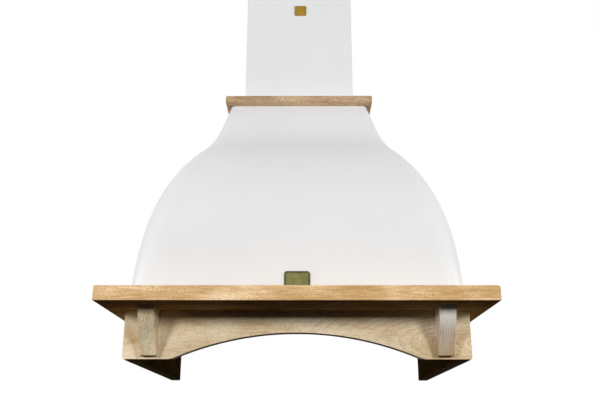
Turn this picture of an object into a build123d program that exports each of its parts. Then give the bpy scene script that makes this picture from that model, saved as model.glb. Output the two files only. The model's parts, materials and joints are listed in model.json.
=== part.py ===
"""Wall-hung cooker hood with a painted steel bell, a chimney and beech timber trim.

Millimetres. +X is to the right, +Z is up and the wall is the plane y = 0, with the hood on
its -Y side. Distances out from the wall are called "out" and are positive. The origin is on
the wall, midway between the two holes the hood hangs by.
"""
from build123d import *
import math
import os

# --- Whole hood ---------------------------------------------------------------------
hood_width = 600.0            # mantel shelf, end to end
hood_depth = 540.0            # wall to the shelf's front edge
hang_height = 380.0           # hanging holes above the shelf's underside

# --- Timber -------------------------------------------------------------------------
shelf_thickness = 23.0
shelf_front_board_depth = 123.0
shelf_side_board_width = 58.0
shelf_round = 4.0             # roundover along the shelf's top edge
apron_setback = 93.0          # shelf's front edge to the apron's face
apron_side_setback = 27.6     # shelf's end to the apron's side
apron_height = 75.5
apron_thickness = 18.0
apron_corner = 3.0
arch_radius = 495.0
arch_crown = 34.5             # arch crown below the shelf's underside
arch_foot_round = 20.0
corbel_width = 25.5
corbel_inset = 42.4           # corbel's centre from the apron's end
corbel_height = 71.0
corbel_top_reach = 49.5
corbel_foot_reach = 11.5
corbel_lean = 18.0            # degrees, the ogee's slope at both ends
neck_show = 4.0               # straight neck below the collar
collar_height = 20.0
collar_reach = 10.5
collar_face_foot = 2.5        # reach left at the bottom of the bevel
collar_bevel = 5.0
collar_round = 5.0
tenon_width = 30.0
tenon_thickness = 6.0
tenon_depth = 14.0            # into each board
tenon_rear_place = 110.0      # out from the wall, under each shelf side board
tenon_front_inset = 119.0     # back from the apron, under each shelf side board
tenon_front_place = 150.0     # each side of the middle, under the shelf front board
glue_gap = 0.1                # between a tenon or screw and its hole
shelf_screw_length = 14.0
shelf_screw_inset = 15.0      # from the apron's outer side
shelf_screw_rear_place = 60.0
shelf_screw_front_inset = 69.0  # back from the apron
corbel_screw_drops = (20.0, 46.0)
corbel_screw_reach = 12.0
collar_screw_place = 70.0
collar_screw_reach = 5.0
collar_screw_rise = 7.0       # above the collar's foot

# --- Steel bell ---------------------------------------------------------------------
steel = 1.2
neck_width = 282.0
neck_depth = 219.5
bell_height = 437.0           # shelf top to the straight neck
turn_level = 0.73             # share of the height where the curve changes its bend
turn_share = 0.367            # share of the spread left there
turn_slope = -2.253
neck_slope = -1.291
base_corner = 25.0
shoulder_corner = 60.0
neck_corner = 10.0
bell_sections = 15
flange_width = 40.0           # turned in at the bell's foot
seam_gap = 0.2                # between folded sheets that fit inside each other
screw_radius = 2.0
screw_head = 3.5
wood_screw_head = 4.0
small_screw_radius = 1.6
small_screw_head = 3.0
hang_spacing = 220.0
hang_hole = 4.2
safety_spacing = 400.0
safety_drop = 265.0           # safety holes below the hanging holes
safety_hole = 3.2
top_rim = 8.0                 # top plate's edge, turned down

# --- Underside ----------------------------------------------------------------------
panel_rise = 38.0             # panel above the shelf's underside
panel_gap = 1.0               # panel's rim to the shelf boards
panel_corner = 12.0
panel_rim_width = 13.0
panel_front_rim = 22.0
rim_screw_inset = 8.7         # from the tray's side
rim_screw_rear_place = 60.0
rim_screw_front_inset = 54.0
rim_screw_length = 6.0
ledge_width = 15.0            # folded edge of the back panel that carries the panel's rear
filter_width = 320.0
filter_to_controls = 9.0      # panel's opening to the controls' bezel
filter_from_wall = 55.0
filter_gap = 1.5              # to the panel's opening, at the front and sides
filter_rear_gap = 2.5         # at the rear, where the filter swings
filter_thickness = 11.5
filter_lift = 3.3             # filter's top above the panel's top face
filter_rail = 14.0
filter_groove = 3.0
filter_lip = 2.0
pleat_pitch = 12.0
pleat_height = 6.0
pleat_sheet = 0.9
tab_width = 22.0
tab_reach = 8.0
tab_spacing = 220.0
tab_thickness = 1.2
running_gap = 0.3
latch_width = 40.0
latch_length = 20.0
latch_thickness = 4.5
latch_travel = 5.0
latch_rail = 2.3
latch_rail_thickness = 2.0
latch_set_back = 3.0          # latch front behind the filter's front face
latch_sink = 0.5              # latch face above the filter's lower face
latch_bed_wall = 5.0
latch_grip = 2.6              # radius of the finger groove
latch_post = (12.0, 6.0)      # upright joining thumb plate and tongue, behind the latch's front
tongue_width = 16.0
tongue_thickness = 1.8
lamp_inset = 38.0             # lamp's centre from the panel's side
lamp_radius = 25.0            # lens opening
lamp_rim = 32.0
lamp_tube = 27.5
lamp_body_height = 20.0
lamp_rim_thickness = 3.0
lamp_tube_height = 8.0
lens_half_thickness = 1.5
lamp_socket_radius = 9.0
lamp_socket_height = 6.0
front_row_inset = 44.0        # lamps and controls, back from the panel's front
control_half_length = 66.0
control_half_width = 18.0
control_height = 22.0
control_bezel = 8.0
control_bezel_thickness = 2.5
control_cover = 5.0           # solid top of the switch block
well_lip = 4.0
shoulder_width = 1.0
shoulder_height = 4.0
key_count = 5
key_pitch = 24.0
key_length = 18.0
key_width = 13.0
key_stand = 4.0               # key face below its bezel

# --- Fan ----------------------------------------------------------------------------
fan_from_wall = 160.0
fan_level = 290.0             # fan axis above the shelf's underside
impeller_radius = 78.0
impeller_half_length = 54.0
blade_count = 24
blade_depth = 14.0
blade_thickness = 1.2
blade_bend = 26.0             # radius of each blade's curve
blade_sweep = 5.5             # tip ahead of the root
end_ring_width = 4.0
end_ring_depth = 10.0
disc_thickness = 3.0
hub_radius = 12.0
hub_ends = (-12.0, 8.0)
scroll_gap = 8.0
scroll_step = 14.0            # growth of the scroll in each quarter turn
scroll_half_width = 62.0
scroll_wall = 2.5
scroll_outlet_depth = 120.0
scroll_outlet_rise = 125.0
tongue_round = 8.0
inlet_radius = 64.0
inlet_lip = 2.0
shaft_radius = 4.0
shaft_ends = (-14.0, 50.0)
bearing_gap = 0.05
motor_radius = 44.0
motor_inner_face = 12.0
motor_chamfer = 5.0
motor_boss = 14.0
boss_height = 3.0
arm_plate = 30.0
arm_plate_hole = 10.0
arm_turns = (60.0, 180.0, 300.0)
arm_width = 12.0
arm_thickness = 3.0
arm_reach = 80.0
adapter_sides = 16
adapter_flange = 2.0
strap_places = (-38.0, 38.0)
strap_width = 30.0
strap_sheet = 1.5
strap_leg = 26.0
strap_rise = 45.0             # above the fan axis
electrics_sides = (130.0, 235.0)
electrics_front = 42.0
electrics_low = 100.0         # above the shelf's underside
electrics_height = 65.0
electrics_chamfer = 3.0
entry_places = (160.0, 205.0)
entry_radius = 6.0
entry_height = 8.0
capacitor_x = -170.0
capacitor_out = 20.0
capacitor_low = 105.0         # above the shelf's underside
capacitor_radius = 16.0
capacitor_height = 60.0
terminal_radius = 5.0
terminal_height = 8.0
clip_low = 18.0
clip_height = 24.0

# --- Outlet and chimney -------------------------------------------------------------
outlet_radius = 74.5          # spigot for a 150 mm duct
outlet_wall = 1.5
outlet_from_wall = 92.0
outlet_height = 45.0
outlet_flange = 11.5
outlet_screw_circle = 80.0
seat_thickness = 1.5
seat_width = 4.0
damper_level = 20.0           # damper pin above the top plate
damper_pin_radius = 1.5
damper_sheet = 1.2
knuckle_radius = 2.6
knuckle_half = 11.0
front_knuckles = (-48.0, 48.0)
rear_knuckles = (0.0,)
flap_edge_gap = 1.5
flap_clear = 0.6              # flap's straight edge to the other flap's knuckle
chimney_width = 231.0
chimney_depth = 180.0
chimney_sheet = 1.0
chimney_height = 330.0
chimney_fold = 14.0
chimney_corner = 3.0
sleeve_gap = 1.0
chimney_show = 30.0           # upper sleeve standing out of the lower one at rest
angle_height = 15.0
angle_thickness = 2.0
angle_length = 110.0
angle_foot = 15.0
angle_screw_inset = 9.5
angle_screw_places = (60.0, 130.0)
side_screw_places = (60.0, 120.0)
side_screw_length = 5.0
vent_count = 5
vent_pitch = 9.0
vent_length = 60.0
vent_width = 3.0
vent_drop = 20.0              # top slot below the lower sleeve's top
bracket_height = 22.0
bracket_sheet = 1.5
bracket_ear = 40.0
bracket_hole_spacing = 120.0
bracket_hole = 3.0
bracket_screw_place = 25.0
bracket_screw_length = 6.0
gland_x = 80.0
gland_out = 20.0
gland_bore = 4.0
gland_neck = 7.0
gland_flange = 9.0
gland_flange_height = 2.0
gland_below = 7.0
gland_above = 6.0

# --- Plates -------------------------------------------------------------------------
dome_plate_width = 42.0
dome_plate_height = 28.0
dome_plate_foot = 13.0        # above the shelf's top
chimney_plate_width = 26.0
chimney_plate_height = 25.0
chimney_plate_level = 716.0   # centre above the shelf's underside
dome_plate_corner = 4.0
chimney_plate_corner = 3.0
chimney_plate_x = 2.5
plate_thickness = 1.2
plate_rim = 2.0
plate_sink = 0.72
plate_gap = 0.25

# --- Levels and places that follow --------------------------------------------------
underside = -hang_height
shelf_top = underside + shelf_thickness
bell_top = shelf_top + bell_height
collar_foot = bell_top + neck_show
collar_top = collar_foot + collar_height
shelf_half = hood_width / 2
shelf_inner_half = shelf_half - shelf_side_board_width
shelf_inner_depth = hood_depth - shelf_front_board_depth
apron_face = hood_depth - apron_setback
apron_back = apron_face - apron_thickness
apron_half = shelf_half - apron_side_setback
apron_inner_half = apron_half - apron_thickness
apron_bottom = underside - apron_height
neck_half = neck_width / 2
corbel_centre = apron_half - corbel_inset
panel_half_width = shelf_inner_half - panel_gap - panel_rim_width
panel_depth = shelf_inner_depth - panel_gap - panel_front_rim
lamp_centre = panel_half_width - lamp_inset
lamp_from_wall = panel_depth - front_row_inset
control_from_wall = lamp_from_wall
panel_level = underside + panel_rise
panel_top = panel_level + steel
rim_top = shelf_top
rim_bottom = rim_top - steel
filter_top = panel_top + filter_lift
filter_bottom = filter_top - filter_thickness
filter_half = filter_width / 2 - filter_gap
filter_rear = filter_from_wall + filter_rear_gap
lip_edge = control_from_wall - control_half_width - control_bezel - filter_to_controls
filter_front = lip_edge - filter_gap
pivot_level = panel_top + running_gap
fan_axis_level = underside + fan_level
scroll_top = fan_axis_level + scroll_outlet_rise
spiral_small = impeller_radius + scroll_gap + scroll_step / 2
scroll_rear = spiral_small + 2 * scroll_step + scroll_step / 2
scroll_face = scroll_half_width + scroll_wall
outlet_bore = outlet_radius - outlet_wall
damper_axis = collar_top + damper_level
chimney_half = chimney_width / 2
sleeve_half = chimney_half - chimney_sheet - sleeve_gap
sleeve_depth = chimney_depth - chimney_sheet - sleeve_gap
chimney_top = collar_top + chimney_height
sleeve_top = chimney_top + chimney_show
sleeve_bottom = collar_top + angle_height
sleeve_back = bracket_sheet
bracket_level = sleeve_top - chimney_show / 2


# --- Helpers ------------------------------------------------------------------------
def both_sides(x, places):
    """Screw places as (x, out) pairs, left and right of the middle."""
    return [(side * x, out) for side in (-1, 1) for out in places]


SHELF_SCREWS = both_sides(
    apron_half - shelf_screw_inset, (shelf_screw_rear_place, apron_back - shelf_screw_front_inset)
)
RIM_SCREWS = both_sides(
    panel_half_width + rim_screw_inset, (rim_screw_rear_place, panel_depth - rim_screw_front_inset)
)
ANGLE_SCREWS = both_sides(chimney_half - angle_screw_inset, angle_screw_places)


def block(x, out, z):
    """Box between pairs of limits, with out measured away from the wall."""
    centre = Pos((x[0] + x[1]) / 2, -(out[0] + out[1]) / 2, (z[0] + z[1]) / 2)
    return centre * Box(x[1] - x[0], out[1] - out[0], z[1] - z[0])


def rod(start, end, radius):
    """Round bar between two (x, out, z) points."""
    first = Vector(start[0], -start[1], start[2])
    last = Vector(end[0], -end[1], end[2])
    run = last - first
    return Plane(origin=first, z_dir=run).location * extrude(Circle(radius), run.length)


def screw(seat, tip, radius, head):
    """Hex-head screw: seat is under the head, tip is the far end. The thread is an eight-sided bar."""
    first = Vector(seat[0], -seat[1], seat[2])
    run = Vector(tip[0], -tip[1], tip[2]) - first
    shank = extrude(RegularPolygon(radius, 8), run.length)
    cap = extrude(RegularPolygon(head, 6), -head * 0.6)
    return Plane(origin=first, z_dir=run).location * (shank + cap)


def drill(seat, tip, radius=screw_radius):
    """Clearance hole for a screw, through from seat to tip."""
    first = Vector(seat[0], -seat[1], seat[2])
    run = Vector(tip[0], -tip[1], tip[2]) - first
    bar = extrude(RegularPolygon(radius + glue_gap, 8), run.length)
    return Plane(origin=first, z_dir=run).location * bar


def mirrored(shape):
    return mirror(shape, about=Plane.YZ)


def open_back_outline(half, depth, radius, back=0.0):
    """Plan outline with rounded front corners and square ones at the wall."""
    path = FilletPolyline(
        (half, -back), (half, -depth), (-half, -depth), (-half, -back), radius=radius
    )
    return make_face(path + Line(path @ 1, path @ 0))


# --- Timber -------------------------------------------------------------------------
def tenons(extra=0.0):
    """Loose tenons that join the boards, each in a mortise half in either board."""
    thick, wide, deep = tenon_thickness / 2 + extra, tenon_width / 2 + extra, tenon_depth + extra
    rail = apron_inner_half + apron_thickness / 2
    front = apron_back + apron_thickness / 2
    corner = underside - apron_height / 2
    seam = underside + shelf_thickness / 2
    board = shelf_half - shelf_side_board_width / 2
    pieces = []
    for side in (-1, 1):
        for out in (tenon_rear_place, apron_back - tenon_front_inset):
            pieces.append(around(side * rail, out, underside, thick, wide, deep))
        pieces.append(around(side * tenon_front_place, front, underside, wide, thick, deep))
        pieces.append(around(side * rail, apron_back, corner, thick, deep, wide))
        pieces.append(around(side * board, shelf_inner_depth, seam, wide, deep, thick))
    return pieces


def around(x, out, z, half_x, half_out, half_z):
    """Box given by its middle and half sizes."""
    return block((x - half_x, x + half_x), (out - half_out, out + half_out), (z - half_z, z + half_z))


def mortised(board):
    """The board with its share of the mortises and of the holes for the shelf screws."""
    tools = tenons(glue_gap)
    for x, out in SHELF_SCREWS:
        tools.append(drill((x, out, shelf_top + 1), (x, out, shelf_top - shelf_screw_length - glue_gap)))
    for tool in tools:
        if (board & tool) is not None:
            board -= tool
    return board


def shelf_front_board():
    board = block((-shelf_half, shelf_half), (shelf_inner_depth, hood_depth), (underside, shelf_top))
    top = board.faces().sort_by(Axis.Z)[-1]
    rim = top.edges().sort_by(Axis.Y)[:-1]
    return mortised(fillet(rim, shelf_round))


def shelf_side_board():
    board = block((shelf_inner_half, shelf_half), (0, shelf_inner_depth), (underside, shelf_top))
    rim = board.faces().sort_by(Axis.Z)[-1].edges().sort_by(Axis.X)[-1]
    return mortised(fillet(rim, shelf_round))


def bottom_edges(board):
    """Edges at the apron's foot that run from front to back."""
    edges = board.edges().filter_by(Axis.Y)
    return edges.filter_by_position(Axis.Z, apron_bottom - 1, apron_bottom + 1)


def arched_apron():
    board = block((-apron_half, apron_half), (apron_back, apron_face), (apron_bottom, underside))
    centre = underside - arch_crown - arch_radius
    board -= rod((0, apron_back - 1, centre), (0, apron_face + 1, centre), arch_radius)
    through = bottom_edges(board)
    ordered = through.sort_by(Axis.X)
    board = fillet([ordered[0], ordered[-1]], apron_corner)
    through = bottom_edges(board)
    inner = through.filter_by_position(Axis.X, -corbel_centre, corbel_centre)
    board = mortised(fillet(inner, arch_foot_round))
    for tool in corbel_screws(glue_gap):
        board -= tool
    return board


def apron_side():
    board = block((apron_inner_half, apron_half), (0, apron_back), (apron_bottom, underside))
    rear = board.edges().filter_by(Axis.X).sort_by(Axis.Z)[:2].sort_by(Axis.Y)[-1]
    return mortised(fillet(rear, apron_corner))


def corbel():
    """Shelf bracket whose front falls back to the apron in a shallow ogee."""
    top = (apron_face + corbel_top_reach, underside)
    foot = (apron_face + corbel_foot_reach, underside - corbel_height)
    turn = ((top[0] + foot[0]) / 2, (top[1] + foot[1]) / 2)
    lean = math.radians(corbel_lean)
    ogee = TangentArc(top, turn, tangent=(-math.sin(lean), -math.cos(lean)))
    ogee += TangentArc(turn, foot, tangent=ogee % 1)
    straight = Polyline(foot, (apron_face, foot[1]), (apron_face, underside), top)
    profile = Plane(origin=(0, 0, 0), x_dir=(0, -1, 0), z_dir=(-1, 0, 0)) * make_face(ogee + straight)
    solid = Pos(corbel_centre + corbel_width / 2, 0, 0) * extrude(profile, corbel_width)
    for tool in corbel_screws(glue_gap):
        solid -= tool
    return solid


def corbel_screws(extra=0.0):
    """Two wood screws into each corbel, driven from behind the apron."""
    tools = []
    for x in (-corbel_centre, corbel_centre):
        for drop in corbel_screw_drops:
            seat = (x, apron_back, underside - drop)
            tip = (x, apron_face + corbel_screw_reach, underside - drop)
            tools.append(screw(seat, tip, screw_radius + extra, wood_screw_head + extra))
    return tools


def collar_profile(length):
    """Collar moulding: bevelled below and rounded above, length along +X from 0, reach along -Y."""
    bevel_top = collar_foot + collar_bevel
    points = [(0, collar_foot), (collar_face_foot, collar_foot), (collar_reach, bevel_top)]
    points += [(collar_reach, collar_top), (0, collar_top)]
    plane = Plane(origin=(0, 0, 0), x_dir=(0, -1, 0), z_dir=(-1, 0, 0))
    solid = Pos(length / 2, 0, 0) * extrude(plane * make_face(Polyline(*points, close=True)), length)
    edge = solid.edges().filter_by(Axis.X).sort_by(Axis.Z)[-2:].sort_by(Axis.Y)[0]
    return fillet(edge, collar_round)


def prism(points, low, high):
    """Plan polygon of (x, out) points between two levels."""
    outline = Polyline(*[(x, -out) for x, out in points], close=True)
    return Pos(0, 0, low) * extrude(make_face(outline), high - low)


def collar_front():
    outer = neck_half + collar_reach
    bar = Pos(0, -neck_depth, 0) * collar_profile(2 * outer)
    front = neck_depth + collar_reach
    points = [(-neck_half, neck_depth), (-outer, front), (outer, front), (neck_half, neck_depth)]
    mitre = prism(points, collar_foot, collar_top)
    return with_collar_screws(bar & mitre)


def collar_side():
    """Right-hand run of the collar, from the front mitre back to the wall."""
    outer = neck_half + collar_reach
    front = neck_depth + collar_reach
    bar = Rot(0, 0, 90) * collar_profile(2 * front)
    bar = Pos(neck_half, 0, 0) * bar
    points = [(neck_half, 0), (outer, 0), (outer, front), (neck_half, neck_depth)]
    mitre = prism(points, collar_foot, collar_top)
    return with_collar_screws(bar & mitre)


def with_collar_screws(solid):
    for tool in collar_screws(glue_gap):
        solid -= tool
    return solid


def collar_screws(extra=0.0):
    """Wood screws through the neck into the collar, from inside."""
    z = collar_foot + collar_screw_rise
    shank = small_screw_radius + extra
    head = small_screw_head + extra
    tools = []
    for x in (-collar_screw_place, collar_screw_place):
        ends = (x, neck_depth - steel, z), (x, neck_depth + collar_screw_reach, z)
        tools.append(screw(*ends, shank, head))
    for side in (-1, 1):
        seat = (side * (neck_half - steel), neck_depth / 2, z)
        tip = (side * (neck_half + collar_screw_reach), neck_depth / 2, z)
        tools.append(screw(seat, tip, shank, head))
    return tools


# --- Steel bell ---------------------------------------------------------------------
def cubic(t, start, end, start_slope, end_slope):
    """Cubic curve from start to end as t goes from 0 to 1."""
    rise = 3 * t**2 - 2 * t**3
    return start + (end - start) * rise + (t**3 - 2 * t**2 + t) * start_slope + (t**3 - t**2) * end_slope


def spread(level):
    """Share of the bell's extra width: 1 at the shelf (level 0) and 0 at the neck (level 1)."""
    if level < turn_level:
        return cubic(level / turn_level, 1, turn_share, 0, turn_slope * turn_level)
    rest = 1 - turn_level
    return cubic((level - turn_level) / rest, turn_share, 0, turn_slope * rest, neck_slope * rest)


def bell_half(level):
    return neck_half + (apron_half - neck_half) * spread(level)


def bell_depth(level):
    return neck_depth + (apron_face - neck_depth) * spread(level)


def bell_corner(level):
    """Corner radius: small at foot and neck, large at the shoulder."""
    ends = base_corner * (1 - level) + neck_corner * level
    middle = (base_corner + neck_corner) / 2
    return ends + 4 * (shoulder_corner - middle) * level * (1 - level)


def bell_solid(inset, back):
    """Bell and neck as one solid, smaller by inset all round."""
    sections = []
    for step in range(bell_sections):
        level = step / (bell_sections - 1)
        outline = open_back_outline(
            bell_half(level) - inset, bell_depth(level) - inset, bell_corner(level) - inset, back
        )
        sections.append(Pos(0, 0, shelf_top + level * bell_height) * outline)
    neck = extrude(sections[-1], collar_top - bell_top)
    return loft(sections, ruled=True) + neck


def dome_shell():
    shell = bell_solid(0, 0) - bell_solid(steel, -5)
    tucked = steel / 2
    foot = open_back_outline(apron_half - tucked, apron_face - tucked, base_corner - tucked)
    flange = Pos(0, 0, shelf_top) * extrude(foot, steel)
    flange -= block(
        (flange_width - apron_half, apron_half - flange_width),
        (-1, apron_face - flange_width),
        (shelf_top - 1, shelf_top + 2),
    )
    shell += flange
    for x, out in SHELF_SCREWS + RIM_SCREWS:
        shell -= drill((x, out, shelf_top - 1), (x, out, shelf_top + 3))
    for tool in collar_screws(glue_gap):
        shell -= tool
    return shell


def back_panel():
    """Flat back of the bell, cut to its outline, with a folded ledge at its foot."""
    inset = steel + seam_gap
    foot = panel_level - steel
    slab = block((-apron_half, apron_half), (0, steel), (foot, collar_top - steel))
    sheet = bell_solid(inset, 0) & slab
    ledge = block((-panel_half_width + 10, panel_half_width - 10), (0, ledge_width), (foot, panel_level))
    sheet += ledge
    for x in (-hang_spacing / 2, hang_spacing / 2):
        sheet -= rod((x, -1, 0), (x, 3, 0), hang_hole)
    for x in (-safety_spacing / 2, safety_spacing / 2):
        sheet -= rod((x, -1, -safety_drop), (x, 3, -safety_drop), safety_hole)
    return sheet


def outlet_screw_points():
    reach = outlet_screw_circle * math.sqrt(0.5)
    return [
        (x * reach, outlet_from_wall + out * reach) for x in (-1, 1) for out in (-1, 1)
    ]


def top_plate():
    inset = steel + seam_gap
    half = neck_half - inset
    depth = neck_depth - inset
    outline = open_back_outline(half, depth, neck_corner - inset, inset)
    tray = Pos(0, 0, collar_top) * extrude(outline, -top_rim)
    low = collar_top - top_rim - 1
    high = collar_top + 1
    across = (steel - half, half - steel)
    plate = tray - block(across, (inset + steel, depth - steel), (low, collar_top - steel))
    plate -= rod((0, outlet_from_wall, low), (0, outlet_from_wall, high), outlet_bore)
    for x, out in outlet_screw_points() + ANGLE_SCREWS:
        plate -= drill((x, out, low), (x, out, high))
    return plate - rod((gland_x, gland_out, low), (gland_x, gland_out, high), gland_neck + glue_gap)


def cable_gland():
    """Grommet that the mains lead leaves by."""
    low = collar_top - gland_below
    high = collar_top + gland_above
    body = rod((gland_x, gland_out, low), (gland_x, gland_out, high), gland_neck)
    flange_top = collar_top + gland_flange_height
    body += rod((gland_x, gland_out, collar_top), (gland_x, gland_out, flange_top), gland_flange)
    return body - rod((gland_x, gland_out, low - 1), (gland_x, gland_out, high + 1), gland_bore)


# --- Underside ----------------------------------------------------------------------
def bottom_panel():
    """Pressed tray: flat panel, skirt down to a rim that screws to the bell's flange."""
    wall = steel + seam_gap
    tray = open_back_outline(panel_half_width, panel_depth, panel_corner, wall)
    hollow = open_back_outline(panel_half_width - steel, panel_depth - steel, panel_corner - steel, -5)
    rim_half = panel_half_width + panel_rim_width
    rim_depth = panel_depth + panel_front_rim
    rim = open_back_outline(rim_half, rim_depth, panel_corner + panel_rim_width, wall + ledge_width)
    solid = Pos(0, 0, rim_bottom) * extrude(tray, panel_top - rim_bottom)
    solid += Pos(0, 0, rim_bottom) * extrude(rim, steel)
    solid -= Pos(0, 0, rim_bottom - 1) * extrude(hollow, panel_level - rim_bottom + 1)
    low, high = panel_level - 1, panel_top + 1
    across = (-filter_width / 2, filter_width / 2)
    solid -= block(across, (filter_from_wall, lip_edge), (low, high))
    for x in (-lamp_centre, lamp_centre):
        solid -= rod((x, lamp_from_wall, low), (x, lamp_from_wall, high), lamp_tube + seam_gap)
    middle = (low + high) / 2
    half_x, half_out = control_half_length + seam_gap, control_half_width + seam_gap
    solid -= around(0, control_from_wall, middle, half_x, half_out, high - middle)
    for x, out in RIM_SCREWS:
        solid -= drill((x, out, rim_bottom - 1), (x, out, rim_top + 1))
    return solid


def filter_frame():
    """Cassette rim with a groove for the mesh, two rear tabs and a latch pocket."""
    half = filter_half
    frame = block((-half, half), (filter_rear, filter_front), (filter_bottom, filter_top))
    inner = (filter_rear + filter_rail, filter_front - filter_rail)
    frame -= block((filter_rail - half, half - filter_rail), inner, (filter_bottom - 1, filter_top + 1))
    groove = (inner[0] - filter_groove, inner[1] + filter_groove)
    frame -= block(
        (filter_rail - filter_groove - half, half - filter_rail + filter_groove),
        groove,
        (filter_bottom + filter_lip, filter_top - filter_lip),
    )
    frame += latch_bed()
    frame -= latch_pocket()
    for x in (-tab_spacing / 2, tab_spacing / 2):
        frame += block(
            (x - tab_width / 2, x + tab_width / 2),
            (filter_from_wall - tab_reach, filter_rear + 2),
            (pivot_level, pivot_level + tab_thickness),
        )
    return frame


def latch_bed():
    """Wider middle of the front rail, which carries the latch."""
    half = latch_width / 2 + latch_rail + latch_bed_wall
    rear = filter_front - latch_set_back - latch_length - latch_travel - latch_bed_wall
    return block((-half, half), (rear, filter_front), (filter_bottom, filter_top))


def latch_limits():
    """Front and rear of the latch slide, and its top face."""
    front = filter_front - latch_set_back
    return front, front - latch_length, filter_bottom + latch_sink + latch_thickness


def latch_pocket():
    front, rear, top = latch_limits()
    gap = running_gap
    long = (rear - latch_travel - gap, front + gap)
    half = latch_width / 2 + gap
    pocket = block((-half, half), long, (filter_bottom - 1, top + gap))
    half += latch_rail
    pocket += block((-half, half), long, (top - latch_rail_thickness - gap, top + gap))
    half = tongue_width / 2 + gap
    low = panel_top + running_gap
    high = low + tongue_thickness + gap
    post_rear = front - latch_post[0] - latch_travel - gap
    pocket += block((-half, half), (post_rear, front + gap), (top - 1, high))
    pocket += block((-half, half), (front - 1, filter_front + 1), (low - gap, high))
    return pocket


def filter_latch():
    """Sliding catch: thumb plate below, tongue level with the top of the panel's lip."""
    front, rear, top = latch_limits()
    middle = (front + rear) / 2
    half = latch_width / 2
    face = top - latch_thickness
    body = block((-half, half), (rear, front), (face, top))
    wide = half + latch_rail
    body += block((-wide, wide), (rear, front), (top - latch_rail_thickness, top))
    body -= rod((-half * 0.75, middle, face), (half * 0.75, middle, face), latch_grip)
    half = tongue_width / 2
    low = panel_top + running_gap
    high = low + tongue_thickness
    body += block((-half, half), (front - latch_post[0], front - latch_post[1]), (top - 1, high))
    body += block((-half, half), (front - latch_post[0], lip_edge - running_gap), (low, high))
    return body


def filter_mesh():
    """Pleated mesh pack, its folds running front to back."""
    reach = filter_half - filter_rail + filter_groove - running_gap
    count = int(2 * reach // pleat_pitch)
    left = -count * pleat_pitch / 2
    low = (filter_top + filter_bottom) / 2 - (pleat_height + pleat_sheet) / 2
    line = []
    for step in range(2 * count + 1):
        line.append((left + step * pleat_pitch / 2, low + pleat_height * (step % 2)))
    lower = [(-reach, low)] + line + [(reach, low)]
    upper = [(x, z + pleat_sheet) for x, z in reversed(lower)]
    profile = make_face(Polyline(*lower, *upper, close=True))
    rear = filter_rear + filter_rail - filter_groove + running_gap
    front = filter_front - filter_rail + filter_groove - running_gap
    sheet = Pos(0, -rear, 0) * extrude(Plane.XZ * profile, front - rear)
    bed = latch_bed().bounding_box()
    gap = running_gap
    across = (bed.min.X - gap, bed.max.X + gap)
    return sheet - block(across, (-bed.max.Y - gap, -bed.min.Y), (filter_bottom - 1, filter_top + 1))


def lamp_rod(low, high, radius):
    """Upright bar on the right-hand lamp's centre, levels measured from the panel."""
    x, out = lamp_centre, lamp_from_wall
    return rod((x, out, panel_level + low), (x, out, panel_level + high), radius)


def lamp_bezel():
    ring = lamp_rod(-lamp_rim_thickness, 0, lamp_rim)
    ring = chamfer(ring.edges().sort_by(Axis.Z)[0], lamp_rim_thickness / 2)
    ring += lamp_rod(-1, lamp_tube_height, lamp_tube)
    return ring - lamp_rod(-lamp_rim_thickness - 1, lamp_tube_height + 1, lamp_radius)


def lamp_lens():
    disc = lamp_rod(-lens_half_thickness, lens_half_thickness, lamp_radius - seam_gap)
    return chamfer(disc.edges().filter_by(GeomType.CIRCLE).sort_by(Axis.Z)[0], lens_half_thickness / 2)


def lamp_body():
    """Lamp holder seated on the bezel's tube, with its cable socket on top."""
    top = lamp_tube_height + lamp_body_height
    body = lamp_rod(lamp_tube_height, top, lamp_tube - 1)
    return body + lamp_rod(top - 1, top + lamp_socket_height, lamp_socket_radius)


def key_x(index):
    return (index - (key_count - 1) / 2) * key_pitch


def control_housing():
    """Switch block through the panel, with a bezel below and a stepped well for each key."""
    low = panel_level - control_bezel_thickness
    top = panel_top + control_height
    out = control_from_wall
    body = around(0, out, (low + top) / 2, control_half_length, control_half_width, (top - low) / 2)
    edge_x = control_half_length + control_bezel
    edge_out = control_half_width + control_bezel
    bezel = block((-edge_x, edge_x), (out - edge_out, out + edge_out), (low, panel_level))
    bezel = chamfer(bezel.edges().filter_by(Axis.Z), control_bezel / 2)
    body += chamfer(bezel.faces().sort_by(Axis.Z)[0].edges(), control_bezel_thickness / 2)
    roof = top - control_cover
    half_l = key_length / 2 + running_gap
    half_w = key_width / 2 + running_gap
    step = low + well_lip
    for index in range(key_count):
        x = key_x(index)
        body -= block((x - half_l, x + half_l), (out - half_w, out + half_w), (low - 1, roof))
        wide_l = half_l + shoulder_width
        wide_w = half_w + shoulder_width
        body -= block((x - wide_l, x + wide_l), (out - wide_w, out + wide_w), (step, roof))
    return body


def key(index):
    """Push key with a shoulder that stops it dropping out of its well."""
    low = panel_level - control_bezel_thickness
    x, out = key_x(index), control_from_wall
    half_l, half_w = key_length / 2, key_width / 2
    shoulder = low + well_lip + running_gap
    cap = block((x - half_l, x + half_l), (out - half_w, out + half_w), (low - key_stand, shoulder + 1))
    cap = chamfer(cap.faces().sort_by(Axis.Z)[0].edges(), 1.2)
    middle = shoulder + shoulder_height / 2
    half_l, half_w = half_l + shoulder_width, half_w + shoulder_width
    return cap + around(x, out, middle, half_l, half_w, shoulder_height / 2)


# --- Fan ----------------------------------------------------------------------------
def fan_plane(x):
    """Plane across the fan axis: local x points away from the wall, local y up, normal -X."""
    return Plane(origin=(x, -fan_from_wall, fan_axis_level), x_dir=(0, -1, 0), z_dir=(-1, 0, 0))


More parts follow.
